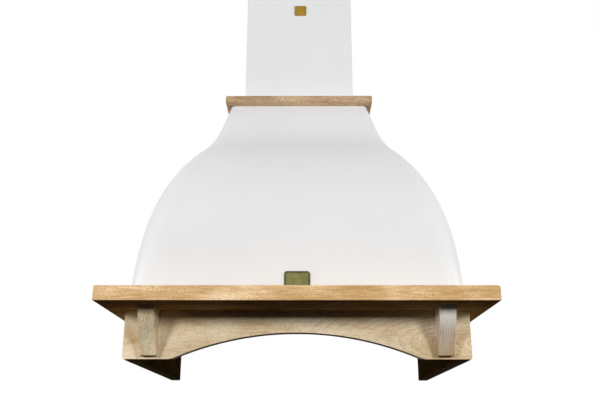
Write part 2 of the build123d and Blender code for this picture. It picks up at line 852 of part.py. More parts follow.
def scroll_outline(extra=0.0):
    """Air space of the scroll: three growing quarter arcs, then a straight outlet at the wall side."""
    half = scroll_step / 2
    small, middle, large = (spiral_small + step * scroll_step + extra for step in range(3))
    rear = -scroll_rear - extra
    inner = -scroll_rear + scroll_outlet_depth + extra
    top = scroll_outlet_rise
    nose = tongue_round - extra
    shelf = small - half
    edges = CenterArc((half, -half), small, 0, 90)
    edges += CenterArc((-half, -half), middle, 270, 90)
    edges += CenterArc((-half, half), large, 180, 90)
    edges += Line((rear, half), (rear, top))
    edges += Line((rear, top), (inner, top))
    edges += Line((inner, top), (inner, shelf + nose))
    edges += CenterArc((inner + nose, shelf + nose), nose, 180, 90)
    edges += Line((inner + nose, shelf), (half, shelf))
    return make_face(edges)


def scroll_half():
    """Right-hand half of the scroll housing, with the inlet bell in its side."""
    outer = extrude(fan_plane(scroll_face) * scroll_outline(scroll_wall), scroll_face)
    air = extrude(fan_plane(scroll_half_width) * scroll_outline(), scroll_half_width)
    solid = outer - air
    solid -= fan_rod(0, scroll_face + 1, inlet_radius)
    lip = fan_rod(impeller_half_length + running_gap * 5, scroll_face, inlet_radius + inlet_lip)
    lip -= fan_rod(0, scroll_face + 1, inlet_radius)
    solid += lip
    circles = solid.edges().filter_by(GeomType.CIRCLE)
    mouth = circles.filter_by(lambda edge: abs(edge.radius - inlet_radius) < 0.01)
    return chamfer(mouth.sort_by(Axis.X)[-1], inlet_lip * 0.9)


def fan_rod(first, last, radius):
    """Round bar on the fan axis between two x places."""
    return rod((first, fan_from_wall, fan_axis_level), (last, fan_from_wall, fan_axis_level), radius)


def blade_outline():
    """One forward-curved blade, a thin crescent between the wheel's inner and outer rims."""
    inner = impeller_radius - blade_depth
    outer = impeller_radius - 0.5
    near = blade_bend - blade_thickness / 2
    far = blade_bend + blade_thickness / 2
    low = RadiusArc((inner, 0), (outer, blade_sweep), near)
    high = RadiusArc((inner, blade_thickness), (outer, blade_sweep + blade_thickness), far)
    return make_face(low + Line(low @ 1, high @ 1) + high + Line(high @ 0, low @ 0))


def impeller():
    """Double-inlet wheel without its blades: a middle disc on a hub and the two end rings."""
    half = disc_thickness / 2
    disc = fan_rod(-half, half, impeller_radius) + fan_rod(*hub_ends, hub_radius)
    disc -= fan_rod(hub_ends[0] - 1, hub_ends[1] + 1, shaft_radius)
    low, high = impeller_half_length - end_ring_width, impeller_half_length
    ring = fan_rod(low, high, impeller_radius)
    ring -= fan_rod(low - 1, high + 1, impeller_radius - end_ring_depth)
    return [disc, ring, mirrored(ring)]


def impeller_blades():
    """Forward-curved blades, crimped between the middle disc and an end ring on each side."""
    low, high = disc_thickness / 2, impeller_half_length - end_ring_width
    blade = extrude(fan_plane(high) * blade_outline(), high - low)
    axis = Axis((0, -fan_from_wall, fan_axis_level), (1, 0, 0))
    pairs = [blade, Pos(-high - low, 0, 0) * blade]
    return [half.rotate(axis, step * 360 / blade_count) for half in pairs for step in range(blade_count)]


def motor_shaft():
    return fan_rod(*shaft_ends, shaft_radius)


def motor():
    """Capacitor-run motor that sits inside the wheel, with end bosses round its bearing."""
    body = fan_rod(motor_inner_face, scroll_face, motor_radius)
    body = chamfer(body.edges().filter_by(GeomType.CIRCLE), motor_chamfer)
    body += fan_rod(motor_inner_face - boss_height, motor_inner_face + 1, motor_boss)
    return body - fan_rod(0, shaft_ends[1] + 2, shaft_radius + bearing_gap)


def motor_bracket():
    """Three-armed plate that carries the motor across the right-hand inlet."""
    outer = scroll_face + arm_thickness
    plate = fan_rod(scroll_face, outer, arm_plate)
    across = (fan_from_wall - arm_width / 2, fan_from_wall + arm_width / 2)
    arm = block((scroll_face, outer), across, (fan_axis_level, fan_axis_level + arm_reach))
    axis = Axis((0, -fan_from_wall, fan_axis_level), (1, 0, 0))
    plate += [arm.rotate(axis, turn) for turn in arm_turns]
    return plate - fan_rod(scroll_face - 1, outer + 1, arm_plate_hole)


def adapter_rings(extra):
    """Foot and top outlines of the outlet duct, point for point: a rectangle and a circle."""
    half_x = scroll_half_width + extra
    half_out = scroll_outlet_depth / 2 + extra
    radius = outlet_bore - scroll_wall + extra
    foot, top = [], []
    for step in range(adapter_sides):
        turn = 2 * math.pi * (step + 0.5) / adapter_sides
        x, out = math.cos(turn), math.sin(turn)
        stretch = min(1 / abs(x), 1 / abs(out))
        foot.append((half_x * x * stretch, half_out * out * stretch))
        top.append((radius * x, radius * out))
    return foot, top


def outlet_adapter():
    """Rectangular scroll outlet blended to the round spigot, with a flange under the top plate."""
    flange_top = collar_top - steel
    centre = fan_from_wall - scroll_rear + scroll_outlet_depth / 2

    def funnel(extra, past):
        foot, top = adapter_rings(extra)
        lower = Pos(0, -centre, scroll_top - past) * make_face(Polyline(*foot, close=True))
        upper = Pos(0, -outlet_from_wall, flange_top + past) * make_face(Polyline(*top, close=True))
        return loft([lower, upper], ruled=True)

    solid = funnel(scroll_wall, 0)
    low = flange_top - adapter_flange
    rim = outlet_radius + outlet_flange - 1
    solid += rod((0, outlet_from_wall, low), (0, outlet_from_wall, flange_top), rim)
    solid -= funnel(0, 0.01)
    for x, out in outlet_screw_points():
        solid -= drill((x, out, low - 1), (x, out, flange_top + 1))
    return solid


def blower_brackets():
    """Two folded straps that tie the scroll's flat side to the back panel."""
    rear = fan_from_wall - scroll_rear - scroll_wall
    high = fan_axis_level + strap_rise
    straps = []
    for x in strap_places:
        across = (x - strap_width / 2, x + strap_width / 2)
        strap = block(across, (steel, rear), (high - strap_sheet, high))
        strap += block(across, (steel, steel + strap_sheet), (high - strap_leg, high))
        strap += block(across, (rear - strap_sheet, rear), (high - strap_leg, high))
        straps.append(strap)
    return straps


def electrics_box():
    """Closed terminal box on the back panel, with two cable entries in its top."""
    low = underside + electrics_low
    top = low + electrics_height
    box = block(electrics_sides, (steel, electrics_front), (low, top))
    box = chamfer(box.faces().sort_by(Axis.Y)[0].edges(), electrics_chamfer)
    out = electrics_front / 2
    for x in entry_places:
        box += rod((x, out, top - 1), (x, out, top + entry_height), entry_radius)
    return box


def capacitor_rod(low, high, radius):
    """Upright bar on the capacitor's centre, levels measured from its foot."""
    foot = underside + capacitor_low
    return rod((capacitor_x, capacitor_out, foot + low), (capacitor_x, capacitor_out, foot + high), radius)


def capacitor():
    """Motor capacitor standing in its clip on the back panel."""
    can = capacitor_rod(0, capacitor_height, capacitor_radius)
    can += capacitor_rod(capacitor_height - 1, capacitor_height + terminal_height, terminal_radius)
    low = underside + capacitor_low + clip_low
    across = (capacitor_x - capacitor_radius, capacitor_x + capacitor_radius)
    clip = block(across, (steel, capacitor_out), (low, low + clip_height))
    return can + (clip - capacitor_rod(0, capacitor_height, capacitor_radius - 0.5))


# --- Outlet and damper --------------------------------------------------------------
def outlet_spigot():
    """Duct spigot with a foot flange and a seat ring under the damper flaps."""
    z, out = collar_top, outlet_from_wall
    tube = rod((0, out, z), (0, out, z + outlet_height), outlet_radius)
    tube += rod((0, out, z), (0, out, z + outlet_wall), outlet_radius + outlet_flange)
    tube -= rod((0, out, z - 1), (0, out, z + outlet_height + 1), outlet_bore)
    seat_top = damper_axis - knuckle_radius - running_gap
    seat = rod((0, out, seat_top - seat_thickness), (0, out, seat_top), outlet_bore + outlet_wall / 2)
    seat -= rod((0, out, seat_top - seat_thickness - 1), (0, out, seat_top + 1), outlet_bore - seat_width)
    tube += seat
    tube -= pin_rod(2, damper_pin_radius + bearing_gap)
    for x, y in outlet_screw_points():
        tube -= drill((x, y, z - 1), (x, y, z + 2))
    return tube


def pin_rod(past, radius):
    """Bar along the damper's pin, its ends this far past the spigot's outside."""
    half = outlet_radius + past
    return rod((-half, outlet_from_wall, damper_axis), (half, outlet_from_wall, damper_axis), radius)


def damper_pin():
    """Pin for both flaps; its ends stay inside the spigot's outside, where the duct slides on."""
    return pin_rod(-running_gap, damper_pin_radius)


def damper_flap(side, knuckles):
    """Half-round flap out from the wall (side 1) or back towards it (side -1), with its knuckles."""
    out = outlet_from_wall
    low = damper_axis - knuckle_radius
    disc = rod((0, out, low), (0, out, low + damper_sheet), outlet_bore - flap_edge_gap)
    clear = knuckle_radius + flap_clear
    keep = sorted([out + side * clear, out + side * outlet_radius])
    flap = disc & block((-outlet_radius, outlet_radius), keep, (low - 1, low + 3))
    for x in knuckles:
        ends = (x - knuckle_half, x + knuckle_half)
        flap += rod((ends[0], out, damper_axis), (ends[1], out, damper_axis), knuckle_radius)
        flap += block(ends, sorted([out, out + side * (clear + 1)]), (low, low + damper_sheet))
    return flap - pin_rod(0, damper_pin_radius + bearing_gap)


# --- Chimney ------------------------------------------------------------------------
def chimney_lower():
    """Folded sleeve with its rear edges turned in along the wall."""
    outer = open_back_outline(chimney_half, chimney_depth, chimney_corner)
    half = chimney_half - chimney_sheet
    depth = chimney_depth - chimney_sheet
    inner = open_back_outline(half, depth, chimney_corner - chimney_sheet, chimney_sheet)
    sleeve = Pos(0, 0, collar_top) * extrude(outer - inner, chimney_height)
    gap = chimney_half - chimney_fold
    sleeve -= block((-gap, gap), (-1, chimney_sheet + 1), (collar_top - 1, chimney_top + 1))
    for tool in chimney_screws(glue_gap):
        sleeve -= tool
    return sleeve


def chimney_upper():
    """Inner sleeve that slides up to the ceiling, with vent slots in both sides."""
    corner = chimney_corner - sleeve_gap
    half = sleeve_half - chimney_sheet
    depth = sleeve_depth - chimney_sheet
    outer = open_back_outline(sleeve_half, sleeve_depth, corner, sleeve_back)
    inner = open_back_outline(half, depth, corner - chimney_sheet, sleeve_back - 1)
    sleeve = Pos(0, 0, sleeve_bottom) * extrude(outer - inner, sleeve_top - sleeve_bottom)
    slot = Plane.YZ * Rectangle(vent_length, vent_width)
    for index in range(vent_count):
        z = chimney_top - vent_drop - index * vent_pitch
        place = Pos(-chimney_half, -chimney_depth / 2, z)
        sleeve -= place * extrude(slot, 2 * chimney_half)
    for tool in bracket_screws(glue_gap):
        sleeve -= tool
    return sleeve


def chimney_angles():
    """Two angle strips on the top plate that locate the lower sleeve and stop the upper one."""
    outer = chimney_half - chimney_sheet
    middle = chimney_depth / 2
    long = (middle - angle_length / 2, middle + angle_length / 2)
    right = block((outer - angle_thickness, outer), long, (collar_top, collar_top + angle_height))
    right += block((outer - angle_foot, outer), long, (collar_top, collar_top + angle_thickness))
    pair = [right, mirrored(right)]
    tools = top_screws(glue_gap) + chimney_screws(glue_gap)
    return [cut_all(angle, tools) for angle in pair]


def cut_all(solid, tools):
    for tool in tools:
        solid -= tool
    return solid


def chimney_screws(extra=0.0):
    """Screws through the lower sleeve's sides into the angles."""
    z = collar_top + angle_height / 2 + 1
    tip = chimney_half - side_screw_length
    tools = []
    for side in (-1, 1):
        for out in side_screw_places:
            ends = (side * chimney_half, out, z), (side * tip, out, z)
            tools.append(screw(*ends, small_screw_radius + extra, small_screw_head + extra))
    return tools


def top_screws(extra=0.0):
    """Screws down through the spigot's flange and the angles into the top plate."""
    places = [(x, out, outlet_wall) for x, out in outlet_screw_points()]
    places += [(x, out, angle_thickness) for x, out in ANGLE_SCREWS]
    tools = []
    for x, out, lift in places:
        ends = (x, out, collar_top + lift), (x, out, collar_top - rim_screw_length)
        tools.append(screw(*ends, screw_radius + extra, screw_head + extra))
    return tools


def chimney_bracket():
    """Wall strap with two ears that the upper sleeve is screwed to."""
    half = sleeve_half - chimney_sheet
    z = (bracket_level - bracket_height / 2, bracket_level + bracket_height / 2)
    strap = block((-half, half), (0, bracket_sheet), z)
    for side in (-1, 1):
        strap += block(sorted([side * half, side * (half - bracket_sheet)]), (0, bracket_ear), z)
    for x in (-bracket_hole_spacing / 2, bracket_hole_spacing / 2):
        strap -= rod((x, -1, bracket_level), (x, 3, bracket_level), bracket_hole)
    return cut_all(strap, bracket_screws(glue_gap))


def bracket_screws(extra=0.0):
    out, z = bracket_screw_place, bracket_level
    tip = sleeve_half - bracket_screw_length
    tools = []
    for side in (-1, 1):
        ends = (side * sleeve_half, out, z), (side * tip, out, z)
        tools.append(screw(*ends, small_screw_radius + extra, small_screw_head + extra))
    return tools


# --- Plates -------------------------------------------------------------------------
def name_plate(width, height, corner):
    """Blank plate in the XZ plane, its back on y = 0, with a raised rim."""
    plate = extrude(Plane.XZ * RectangleRounded(width, height, corner), plate_thickness)
    inner = RectangleRounded(width - 2 * plate_rim, height - 2 * plate_rim, corner - 1)
    sunk = extrude(Plane.XZ * inner, plate_thickness)
    return plate - Pos(0, -plate_sink, 0) * sunk


def dome_plate():
    """Blank plate on the bell's front, laid along its slope."""
    middle = shelf_top + dome_plate_foot + dome_plate_height / 2
    level = (middle - shelf_top) / bell_height
    step = dome_plate_height / 2 / bell_height
    rise = bell_depth(level - step) - bell_depth(level + step)
    lean = math.degrees(math.atan2(rise, dome_plate_height))
    face = (bell_depth(level - step) + bell_depth(level + step)) / 2 + plate_gap
    plate = name_plate(dome_plate_width, dome_plate_height, dome_plate_corner)
    return Pos(0, -face, middle) * Rot(-lean, 0, 0) * plate


def chimney_plate():
    plate = name_plate(chimney_plate_width, chimney_plate_height, chimney_plate_corner)
    return Pos(chimney_plate_x, -chimney_depth, underside + chimney_plate_level) * plate


# --- Fasteners ----------------------------------------------------------------------
def shelf_screws():
    """Wood screws down through the bell's flange into the shelf boards."""
    seat = shelf_top + steel
    tip = shelf_top - shelf_screw_length
    return [screw((x, out, seat), (x, out, tip), screw_radius, wood_screw_head) for x, out in SHELF_SCREWS]


def panel_screws():
    """Screws up through the panel's rim into the bell's flange."""
    tip = rim_top + rim_screw_length
    return [screw((x, out, rim_bottom), (x, out, tip), screw_radius, screw_head) for x, out in RIM_SCREWS]


# --- Hand over ----------------------------------------------------------------------
def build():
    """Every node's name with its solid or list of solids."""
    side_board = shelf_side_board()
    side_apron = apron_side()
    bracket = corbel()
    collar_run = collar_side()
    scroll = scroll_half()
    bezel, lens, lamp = lamp_bezel(), lamp_lens(), lamp_body()
    nodes = {
        "shelf_front_board": shelf_front_board(),
        "shelf_side_board_right": side_board,
        "shelf_side_board_left": mirrored(side_board),
        "arched_apron": arched_apron(),
        "apron_side_right": side_apron,
        "apron_side_left": mirrored(side_apron),
        "corbel_right": bracket,
        "corbel_left": mirrored(bracket),
        "collar_front": collar_front(),
        "collar_side_right": collar_run,
        "collar_side_left": mirrored(collar_run),
        "timber_tenons": tenons(),
        "shelf_screws": shelf_screws(),
        "corbel_screws": corbel_screws(),
        "collar_screws": collar_screws(),
        "dome_shell": dome_shell(),
        "back_panel": back_panel(),
        "top_plate": top_plate(),
        "top_screws": top_screws(),
        "cable_gland": cable_gland(),
        "outlet_spigot": outlet_spigot(),
        "damper_pin": damper_pin(),
        "damper_flap_front": damper_flap(1, front_knuckles),
        "damper_flap_rear": damper_flap(-1, rear_knuckles),
        "chimney_lower": chimney_lower(),
        "chimney_upper": chimney_upper(),
        "chimney_angles": chimney_angles(),
        "chimney_screws": chimney_screws(),
        "chimney_bracket": chimney_bracket(),
        "bracket_screws": bracket_screws(),
        "scroll_right": scroll,
        "scroll_left": mirrored(scroll),
        "outlet_adapter": outlet_adapter(),
        "impeller": impeller(),
        "impeller_blades": impeller_blades(),
        "motor_shaft": motor_shaft(),
        "motor_body": motor(),
        "motor_bracket": motor_bracket(),
        "blower_brackets": blower_brackets(),
        "electrics_box": electrics_box(),
        "capacitor": capacitor(),
        "bottom_panel": bottom_panel(),
        "panel_screws": panel_screws(),
        "filter_frame": filter_frame(),
        "filter_mesh": filter_mesh(),
        "filter_latch": filter_latch(),
        "lamp_bezel_right": bezel,
        "lamp_bezel_left": mirrored(bezel),
        "lamp_lens_right": lens,
        "lamp_lens_left": mirrored(lens),
        "lamp_body_right": lamp,
        "lamp_body_left": mirrored(lamp),
        "control_housing": control_housing(),
        "dome_plate": dome_plate(),
        "chimney_plate": chimney_plate(),
    }
    for index in range(key_count):
        nodes[f"key_{index + 1}"] = key(index)
    return nodes


os.makedirs("parts", exist_ok=True)
for name, shape in build().items():
    pieces = shape if isinstance(shape, list) else [shape]
    solids = [solid for piece in pieces for solid in piece.solids()]
    export_step(Compound(children=solids), f"parts/{name}.step")
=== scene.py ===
# %% [markdown]
# # Dressing a wall-hung cooker hood
#
# The hood is a white enamelled steel bell that hangs on the kitchen wall, with a telescopic
# chimney above it and beech trim round its foot: a mantel shelf, an arched apron, two small
# corbels and a moulded collar at the neck. The solid model is already right in size and place.
# This lesson gives it the looks: rounded edges that catch the light, pressed sheet metal, turned
# lamp rims, real screw heads, and a finish for every surface.

# %% Load the solid model
import json
import math

import bmesh
import bpy
from mathutils import Matrix, Vector


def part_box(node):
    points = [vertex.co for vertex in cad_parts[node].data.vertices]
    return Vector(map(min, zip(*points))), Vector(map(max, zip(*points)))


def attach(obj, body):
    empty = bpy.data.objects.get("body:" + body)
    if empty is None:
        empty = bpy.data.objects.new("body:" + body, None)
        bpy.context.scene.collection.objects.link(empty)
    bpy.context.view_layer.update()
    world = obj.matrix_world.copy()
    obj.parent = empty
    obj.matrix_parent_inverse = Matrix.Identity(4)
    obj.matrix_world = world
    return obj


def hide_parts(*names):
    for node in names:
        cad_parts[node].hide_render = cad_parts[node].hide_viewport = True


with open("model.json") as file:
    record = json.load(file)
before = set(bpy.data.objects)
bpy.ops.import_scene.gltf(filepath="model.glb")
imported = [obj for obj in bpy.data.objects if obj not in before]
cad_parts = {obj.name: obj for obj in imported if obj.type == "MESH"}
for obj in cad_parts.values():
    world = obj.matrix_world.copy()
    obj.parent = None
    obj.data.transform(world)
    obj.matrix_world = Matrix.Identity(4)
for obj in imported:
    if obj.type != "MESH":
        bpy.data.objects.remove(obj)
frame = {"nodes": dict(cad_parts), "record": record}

scene = bpy.context.scene
nodes = frame["nodes"]
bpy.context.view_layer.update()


# %% [markdown]
# ## The camera
# The photograph was taken from below the shelf, looking up, so the chimney leans back and the
# underside of the shelf shows as a dark band. The camera is worked out first because everything
# else is judged through it. Its place, tilt and lens come from fitting the hood's straight edges
# to the picture. A matrix built from the right, up and forward directions is safer than three
# angles, because nobody has to remember the order in which the turns are made.

# %% Place the camera
focal_pixels = 728.2456
picture_width = 600
eye = Vector((0.01297, -1.59805, -0.57084))
tilt_up, turn, roll = 0.314484, -0.007488, 0.001718

level_forward = Vector((math.sin(turn), math.cos(turn), 0))
level_right = Vector((math.cos(turn), -math.sin(turn), 0))
forward = math.cos(tilt_up) * level_forward + math.sin(tilt_up) * Vector((0, 0, 1))
level_up = level_right.cross(forward)
right = math.cos(roll) * level_right + math.sin(roll) * level_up
up = math.cos(roll) * level_up - math.sin(roll) * level_right

camera_data = bpy.data.cameras.new("photo_camera")
camera_data.sensor_width = 36
camera_data.lens = focal_pixels / picture_width * camera_data.sensor_width
camera = bpy.data.objects.new("photo_camera", camera_data)
scene.collection.objects.link(camera)
axes = Matrix((right, up, -forward)).transposed().to_4x4()
camera.matrix_world = Matrix.Translation(eye) @ axes
scene.camera = camera
print("lens", round(camera_data.lens, 2), "mm")

# %% [markdown]
# ## A small kit for shaders
# Every finish is a Principled shader with a few textures in front of it, and the background and
# the floor are small node trees as well. Writing each node by hand takes four lines, so a little
# class keeps the recipes readable. Constants go straight on the shader's own sockets; only what
# varies over the surface is linked. All patterns read Object coordinates, which are the hood's own
# metres, so grain keeps its real size on every board.

SOCKETS = {
    "color": "Base Color", "metallic": "Metallic", "rough": "Roughness", "ior": "IOR",
    "specular": "Specular IOR Level", "coat": "Coat Weight", "coat_rough": "Coat Roughness",
    "transmission": "Transmission Weight", "normal": "Normal", "vector": "Vector",
    "scale": "Scale", "detail": "Detail", "roughness": "Roughness", "distortion": "Distortion",
    "location": "Location", "rotation": "Rotation",
}


class Shading:
    """A node tree under construction."""

    def __init__(self, owner, coords="Object", empty=True):
        owner.use_nodes = True
        self.tree = owner.node_tree
        if empty:
            self.tree.nodes.clear()
        self.coords = self.node("TexCoord", output=coords)

    def fill(self, target, value):
        """Links an output to a socket, or writes a plain value on it."""
        if isinstance(value, bpy.types.NodeSocket):
            self.tree.links.new(value, target)
        elif isinstance(value, (tuple, list)) and target.type == "RGBA":
            target.default_value = (*value, 1)
        else:
            target.default_value = value

    def set(self, node, **sockets):
        for socket, value in sockets.items():
            self.fill(node.inputs[SOCKETS.get(socket, socket)], value)

    def node(self, kind, output=0, settings=None, **sockets):
        node = self.tree.nodes.new("ShaderNode" + kind)
        for key, value in (settings or {}).items():
            setattr(node, key, value)
        self.set(node, **sockets)
        return node.outputs[output]

    def row(self, kind, values, **settings):
        """A node whose inputs are filled from the first one on."""
        node = self.tree.nodes.new("ShaderNode" + kind)
        for key, value in settings.items():
            setattr(node, key, value)
        for target, value in zip(node.inputs, values):
            self.fill(target, value)
        return node.outputs[0]

    def place(self, location=(0, 0, 0), turn=(0, 0, 0), scale=(1, 1, 1)):
        """Object coordinates seen from a frame at a location, turned (in degrees) and scaled."""
        return self.node(
            "Mapping", settings={"vector_type": "TEXTURE"}, vector=self.coords, location=location,
            rotation=tuple(math.radians(angle) for angle in turn), scale=scale,
        )

    def noise(self, vector, scale, detail=3.0, rough=0.5):
        return self.node("TexNoise", vector=vector, scale=scale, detail=detail, roughness=rough)

    def along(self, axis):
        """One of the three coordinates."""
        return self.node("SeparateXYZ", output=axis, Vector=self.coords)

    def maths(self, operation, a, b=0.0):
        return self.row("Math", (a, b), operation=operation)

    def span(self, value, low, high, to_low=0.0, to_high=1.0):
        """Stretches low..high of a value to to_low..to_high, clamped."""
        limits = {"From Min": low, "From Max": high, "To Min": to_low, "To Max": to_high}
        return self.node("MapRange", Value=value, **limits)

    def ramp(self, value, *stops):
        node = self.tree.nodes.new("ShaderNodeValToRGB")
        self.tree.links.new(value, node.inputs[0])
        points = node.color_ramp.elements
        while len(points) < len(stops):
            points.new(0.5)
        for point, (position, colour) in zip(points, stops):
            point.position = position
            point.color = (*colour, 1)
        return node.outputs[0]

    def soft_ramp(self, value, dark, light, low=0.35, high=0.65):
        """Two tones, over the middle part of a noise."""
        return self.ramp(self.span(value, low, high), (0.0, dark), (1.0, light))

    def blend(self, amount, first, second, how="MIX"):
        node = self.tree.nodes.new("ShaderNodeMix")
        node.data_type, node.blend_type = "RGBA", how
        live = {
            socket.name: socket for socket in node.inputs
            if socket.enabled and socket.type in ("RGBA", "VALUE")
        }
        for name, value in (("Factor", amount), ("A", first), ("B", second)):
            self.fill(live[name], value)
        return [socket for socket in node.outputs if socket.type == "RGBA" and socket.enabled][0]

    def bump(self, height, distance, strength):
        return self.node("Bump", Distance=distance, Strength=strength, Height=height)


class Finish(Shading):
    """One material with a Principled shader."""

    def __init__(self, name, **constants):
        self.material = bpy.data.materials.new(name)
        super().__init__(self.material, empty=False)
        self.shader = self.tree.nodes["Principled BSDF"]
        self.set(self.shader, **constants)

    def done(self, **sockets):
        self.set(self.shader, **sockets)
        return self.material


# %% [markdown]
# ## Light
# The picture is a catalogue cut-out: soft light from the front, a white background and hardly any
# light from below. A world that is white only to the camera, to reflections and through glass
# gives that background without pouring light on the hood. Two lamps stand in front, far to the
# left and right and a little above the shelf, so that the shelf and the corbels throw their shade
# on the apron. One lamp at each side and a weak one overhead fill in. The floor is far below, as
# under a real hood, and counts as dark for bounced light; it keeps the hood's shadow in the middle
# and fades out sideways, so that no edge of it shows.

# %% Set up the world, the lamps and the floor
scene.view_settings.view_transform = "Standard"
WHITE = (1, 1, 1)


def seen_directly(shading):
    """A value that is 1 for rays that show the background itself: camera, mirror and glass rays."""
    rays = ("Is Camera Ray", "Is Glossy Ray", "Is Transmission Ray")
    camera_ray, mirror_ray, glass_ray = (shading.node("LightPath", output=ray) for ray in rays)
    return shading.maths("MAXIMUM", shading.maths("MAXIMUM", camera_ray, mirror_ray), glass_ray)


scene.world = bpy.data.worlds.new("studio")
sky = Shading(scene.world, coords="Generated")
sky_tones = sky.ramp(sky.along("Z"), (0.0, (0.02, 0.018, 0.014)), (0.6, WHITE))
soft = sky.node("Background", Color=sky_tones, Strength=0.17)
white = sky.node("Background", Color=WHITE)
background = sky.row("MixShader", (seen_directly(sky), soft, white))
sky.tree.links.new(background, sky.tree.nodes.new("ShaderNodeOutputWorld").inputs[0])


def softbox(name, spot, width, height, watts, aim=(0, -0.2, -0.05)):
    """Large rectangular lamp that looks at the middle of the hood."""
    data = bpy.data.lights.new(name, "AREA")
    data.shape = "RECTANGLE"
    data.size, data.size_y, data.energy = width, height, watts
    lamp = bpy.data.objects.new(name, data)
    scene.collection.objects.link(lamp)
    lamp.location = spot
    lamp.rotation_mode = "QUATERNION"
    lamp.rotation_quaternion = (Vector(aim) - Vector(spot)).to_track_quat("-Z", "Y")


softbox("front_left_light", (-1.70, -2.95, 0.12), 0.6, 0.5, 40)
softbox("front_right_light", (1.70, -2.95, 0.12), 0.6, 0.5, 42)
softbox("top_light", (0, -1.6, 2.3), 1.8, 1.2, 5)
softbox("left_light", (-2.8, -0.9, 0.2), 1.0, 1.0, 35)
softbox("right_light", (2.8, -0.9, 0.2), 1.0, 1.0, 33)

floor_level = -1.93
grid = bmesh.new()
under_hood = Matrix.Translation((0, 0, floor_level))
bmesh.ops.create_grid(grid, x_segments=1, y_segments=1, size=9, matrix=under_hood)
floor_mesh = bpy.data.meshes.new("floor")
grid.to_mesh(floor_mesh)
grid.free()
floor = bpy.data.objects.new("floor", floor_mesh)
scene.collection.objects.link(floor)

floor_finish = bpy.data.materials.new("pale_floor")
pale = Shading(floor_finish)
floor_tone = pale.blend(seen_directly(pale), (0.13, 0.12, 0.11), (0.93, 0.93, 0.93))
cover = pale.node("BsdfDiffuse", Color=floor_tone)
length = {"operation": "LENGTH"}
distance = pale.node("VectorMath", output="Value", settings=length, Vector=pale.coords)
# how clear the floor is: 0.45 within 0.8 m of its middle, all clear from 4.5 m on
fade = pale.span(distance, 0.8, 4.5, 0.45, 1.0)
hidden = pale.maths("MAXIMUM", fade, pale.node("NewGeometry", output="Backfacing"))
surface = pale.row("MixShader", (hidden, cover, pale.node("BsdfTransparent")))
pale.tree.links.new(surface, pale.tree.nodes.new("ShaderNodeOutputMaterial").inputs[0])
floor_mesh.materials.append(floor_finish)

# %% [markdown]
# ## Beech
# Beech is a plain wood with two signatures: soft growth bands, and countless short dark dashes
# along the grain. Rings are made from the thing itself: a Wave texture in Rings mode is a tree
# trunk, and where its axis lies tilted behind a board the rings come out as the arches of a
# flat-sawn plank, as on the right half of the real apron. The left half of that board shows hardly
# any, so there the rings fade out. The dashes are noise stretched along the grain and cut off at a
# threshold. Each kind of board gets a trunk and tones of its own.
#
# A thin lacquer goes on the faces that show: a faint, rather blunt coat. Undersides and the faces
# turned in towards the filter get no lacquer and a painted shade that makes them almost black.
# The right corbel gets a painted shade towards its foot, which makes it browner and darker there.

# %% Make the timber finishes
AXIS_TURN = {"X": (0, 0, 0), "Y": (0, 0, 90), "Z": (0, 90, 0)}
WAVE_PITCH = 0.3142                # from ring to ring in a Wave texture at scale 1
LINE_SHARE = (0.58, 0.45, 0.33)    # tone of late wood and dashes against the dark grain
PAINTED_SHADE_TONE = (0.23, 0.16, 0.062)       # painted shade: multiplies the tone of an underside or an inward face
LACQUER = 0.10
CORBEL_HEIGHTS = (-0.448, -0.392)  # where the painted shade at a corbel's foot is full and where it is gone


def painted_shade_amount(f, underside):
    """Painted shade on a face: 0 outside, a given share underneath, 1 on faces turned inwards."""
    facing = f.node("NewGeometry", output="Normal")
    x, y, z = (f.node("SeparateXYZ", output=axis, Vector=facing) for axis in "XYZ")
    inward = f.maths("MULTIPLY", x, f.maths("SIGN", f.along("X")))
    backward = f.maths("MULTIPLY", f.span(y, 0.5, 0.8), f.span(f.along("Y"), -0.02, -0.04))
    turned_in = f.maths("MAXIMUM", f.span(inward, -0.5, -0.8), backward)
    return f.maths("MAXIMUM", turned_in, f.span(z, -0.92, -0.99, 0.0, underside))


